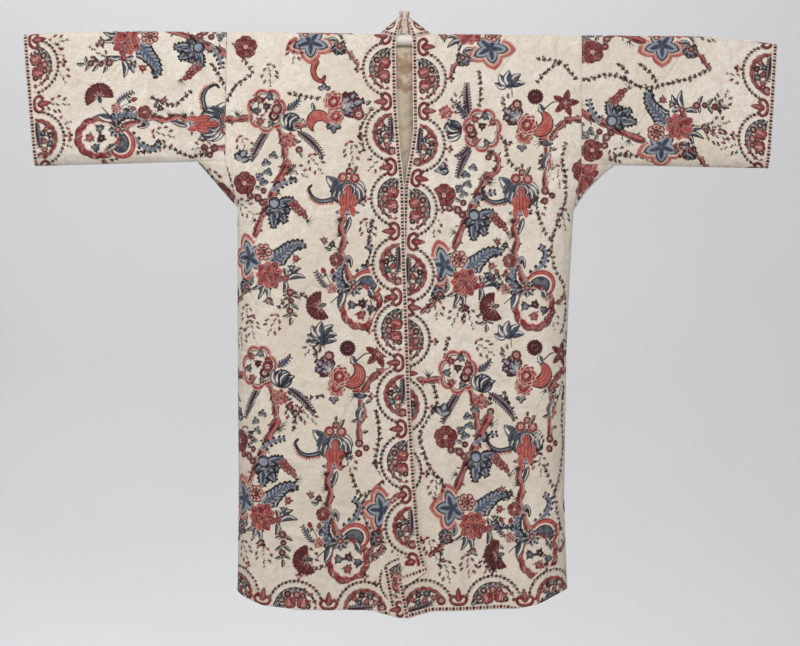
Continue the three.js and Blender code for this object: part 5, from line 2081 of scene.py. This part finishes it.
class BANYAN_OT_rod(bpy.types.Operator):
    """Finishes the display rod."""
    bl_idname = "banyan.rod"
    bl_label = "Rod"

    def execute(self, context):
        material = rod_material(context.scene.banyan_colours)
        rod = bpy.data.objects["display_rod"]
        if not rod.material_slots:
            raise RuntimeError("the rod has no material slot")
        for slot in rod.material_slots:
            slot.material = material
        return {"FINISHED"}


# The backdrop, in metres: its floor's front edge and level, its wall's place and height, the
# radius of the sweep between them, and half its width at the front edge and past it
FLOOR_FROM, FLOOR, WALL_AT, WALL_TOP, SWEEP = -7.0, -7.0, 8.8, 7.5, 1.3
FRONT_HALF, WALL_HALF = 4.0, 40.0
CAMERA_AWAY, METRES_A_PIXEL, PICTURE_WIDTH = 5.0, 0.0022, 800


def light(name, place, aim, size, power, tint=(1, 1, 1)):
    data = bpy.data.lights.new(name, "AREA")
    data.shape, data.size, data.size_y = "RECTANGLE", *size
    data.energy, data.color = power, tint
    lamp = bpy.data.objects.new(name, data)
    bpy.context.scene.collection.objects.link(lamp)
    way = mathutils.Vector(aim) - mathutils.Vector(place)
    lamp.location = place
    lamp.rotation_euler = way.to_track_quat("-Z", "Y").to_euler()


class BANYAN_OT_stage(bpy.types.Operator):
    """Sets the camera, the backdrop and the lights."""
    bl_idname = "banyan.stage"
    bl_label = "Stage"

    def execute(self, context):
        scene, stage = context.scene, context.scene.banyan_stage
        data = bpy.data.cameras.new("camera")
        data.sensor_width = 36
        data.lens = data.sensor_width * CAMERA_AWAY / (METRES_A_PIXEL * PICTURE_WIDTH)
        camera = bpy.data.objects.new("camera", data)
        scene.collection.objects.link(camera)
        camera.location = (-0.0066, -CAMERA_AWAY, -0.622)
        camera.rotation_euler = (math.radians(90), math.radians(-0.5), 0)
        scene.camera = camera

        curve = [(WALL_AT - SWEEP + SWEEP * math.sin(a), FLOOR + SWEEP - SWEEP * math.cos(a))
                 for a in np.linspace(0, math.pi / 2, 25)]
        profile = [(FLOOR_FROM, FLOOR), *curve, (WALL_AT, WALL_TOP)]
        vertices, faces = [], []
        for k, (y, z) in enumerate(profile):
            half = WALL_HALF if k else FRONT_HALF
            vertices += [(-half, y, z), (half, y, z)]
            if k:
                faces.append((2 * k - 2, 2 * k - 1, 2 * k + 1, 2 * k))
        mesh = bpy.data.meshes.new("backdrop")
        mesh.from_pydata(vertices, [], faces)
        mesh.shade_smooth()
        mesh.materials.append(stage_material(stage))
        backdrop = bpy.data.objects.new("backdrop", mesh)
        scene.collection.objects.link(backdrop)

        light("key", (-1.6, -1.1, 1.9), (-0.1, 0, -0.4), (0.9, 0.6), stage.key, (1, 0.99, 0.97))
        for name, z, aim in (("wall_high", 4.3, 0.1), ("wall_low", -5.4, -1.8)):
            light(name, (-0.9, WALL_AT - 3, z), (-0.2, WALL_AT, aim), (7.4, 1.2), stage.wall)
        light("fill", (0.1, -4.7, 0.7), (0, 0, -0.6), (1.6, 1.2), stage.fill, (1, 0.99, 0.98))
        light("back", (1.2, 3.9, 2.6), (0, 0, -0.5), (1.6, 1.2), stage.back)
        world = scene.world or bpy.data.worlds.new("world")
        scene.world = world
        world.use_nodes = True
        back = world.node_tree.nodes["Background"]
        back.inputs["Color"].default_value = (1, 1, 1, 1)
        back.inputs["Strength"].default_value = stage.sky
        scene.view_settings.view_transform = "Standard"
        return {"FINISHED"}


class BANYAN_PT_panel(bpy.types.Panel):
    """Sizes, colours and pieces of the gown."""
    bl_idname = "BANYAN_PT_panel"
    bl_label = "Banyan"
    bl_space_type = "VIEW_3D"
    bl_region_type = "UI"
    bl_category = "Banyan"

    def draw(self, context):
        for group in (context.scene.banyan_cloth, context.scene.banyan_colours,
                      context.scene.banyan_stage):
            for key in group.__annotations__:
                self.layout.prop(group, key)
        for operator in OPERATORS:
            self.layout.operator(operator.bl_idname)


OPERATORS = (BANYAN_OT_stage, BANYAN_OT_fronts, BANYAN_OT_back, BANYAN_OT_sleeves,
             BANYAN_OT_gussets, BANYAN_OT_collar, BANYAN_OT_stitches, BANYAN_OT_rod)
GROUP_CLASSES = {"banyan_colours": BanyanColours, "banyan_cloth": BanyanCloth,
                 "banyan_stage": BanyanStage}
CLASSES = (*GROUP_CLASSES.values(), *OPERATORS, BANYAN_PT_panel)


def register():
    for item in CLASSES:
        bpy.utils.register_class(item)
    for name, group in GROUP_CLASSES.items():
        setattr(bpy.types.Scene, name, bpy.props.PointerProperty(type=group))


def unregister():
    for name in GROUP_CLASSES:
        delattr(bpy.types.Scene, name)
    for item in reversed(CLASSES):
        bpy.utils.unregister_class(item)


def main():
    register()
    for operator in OPERATORS:
        group, name = operator.bl_idname.split(".")
        getattr(getattr(bpy.ops, group), name)()


if __name__ == "__main__":
    main()
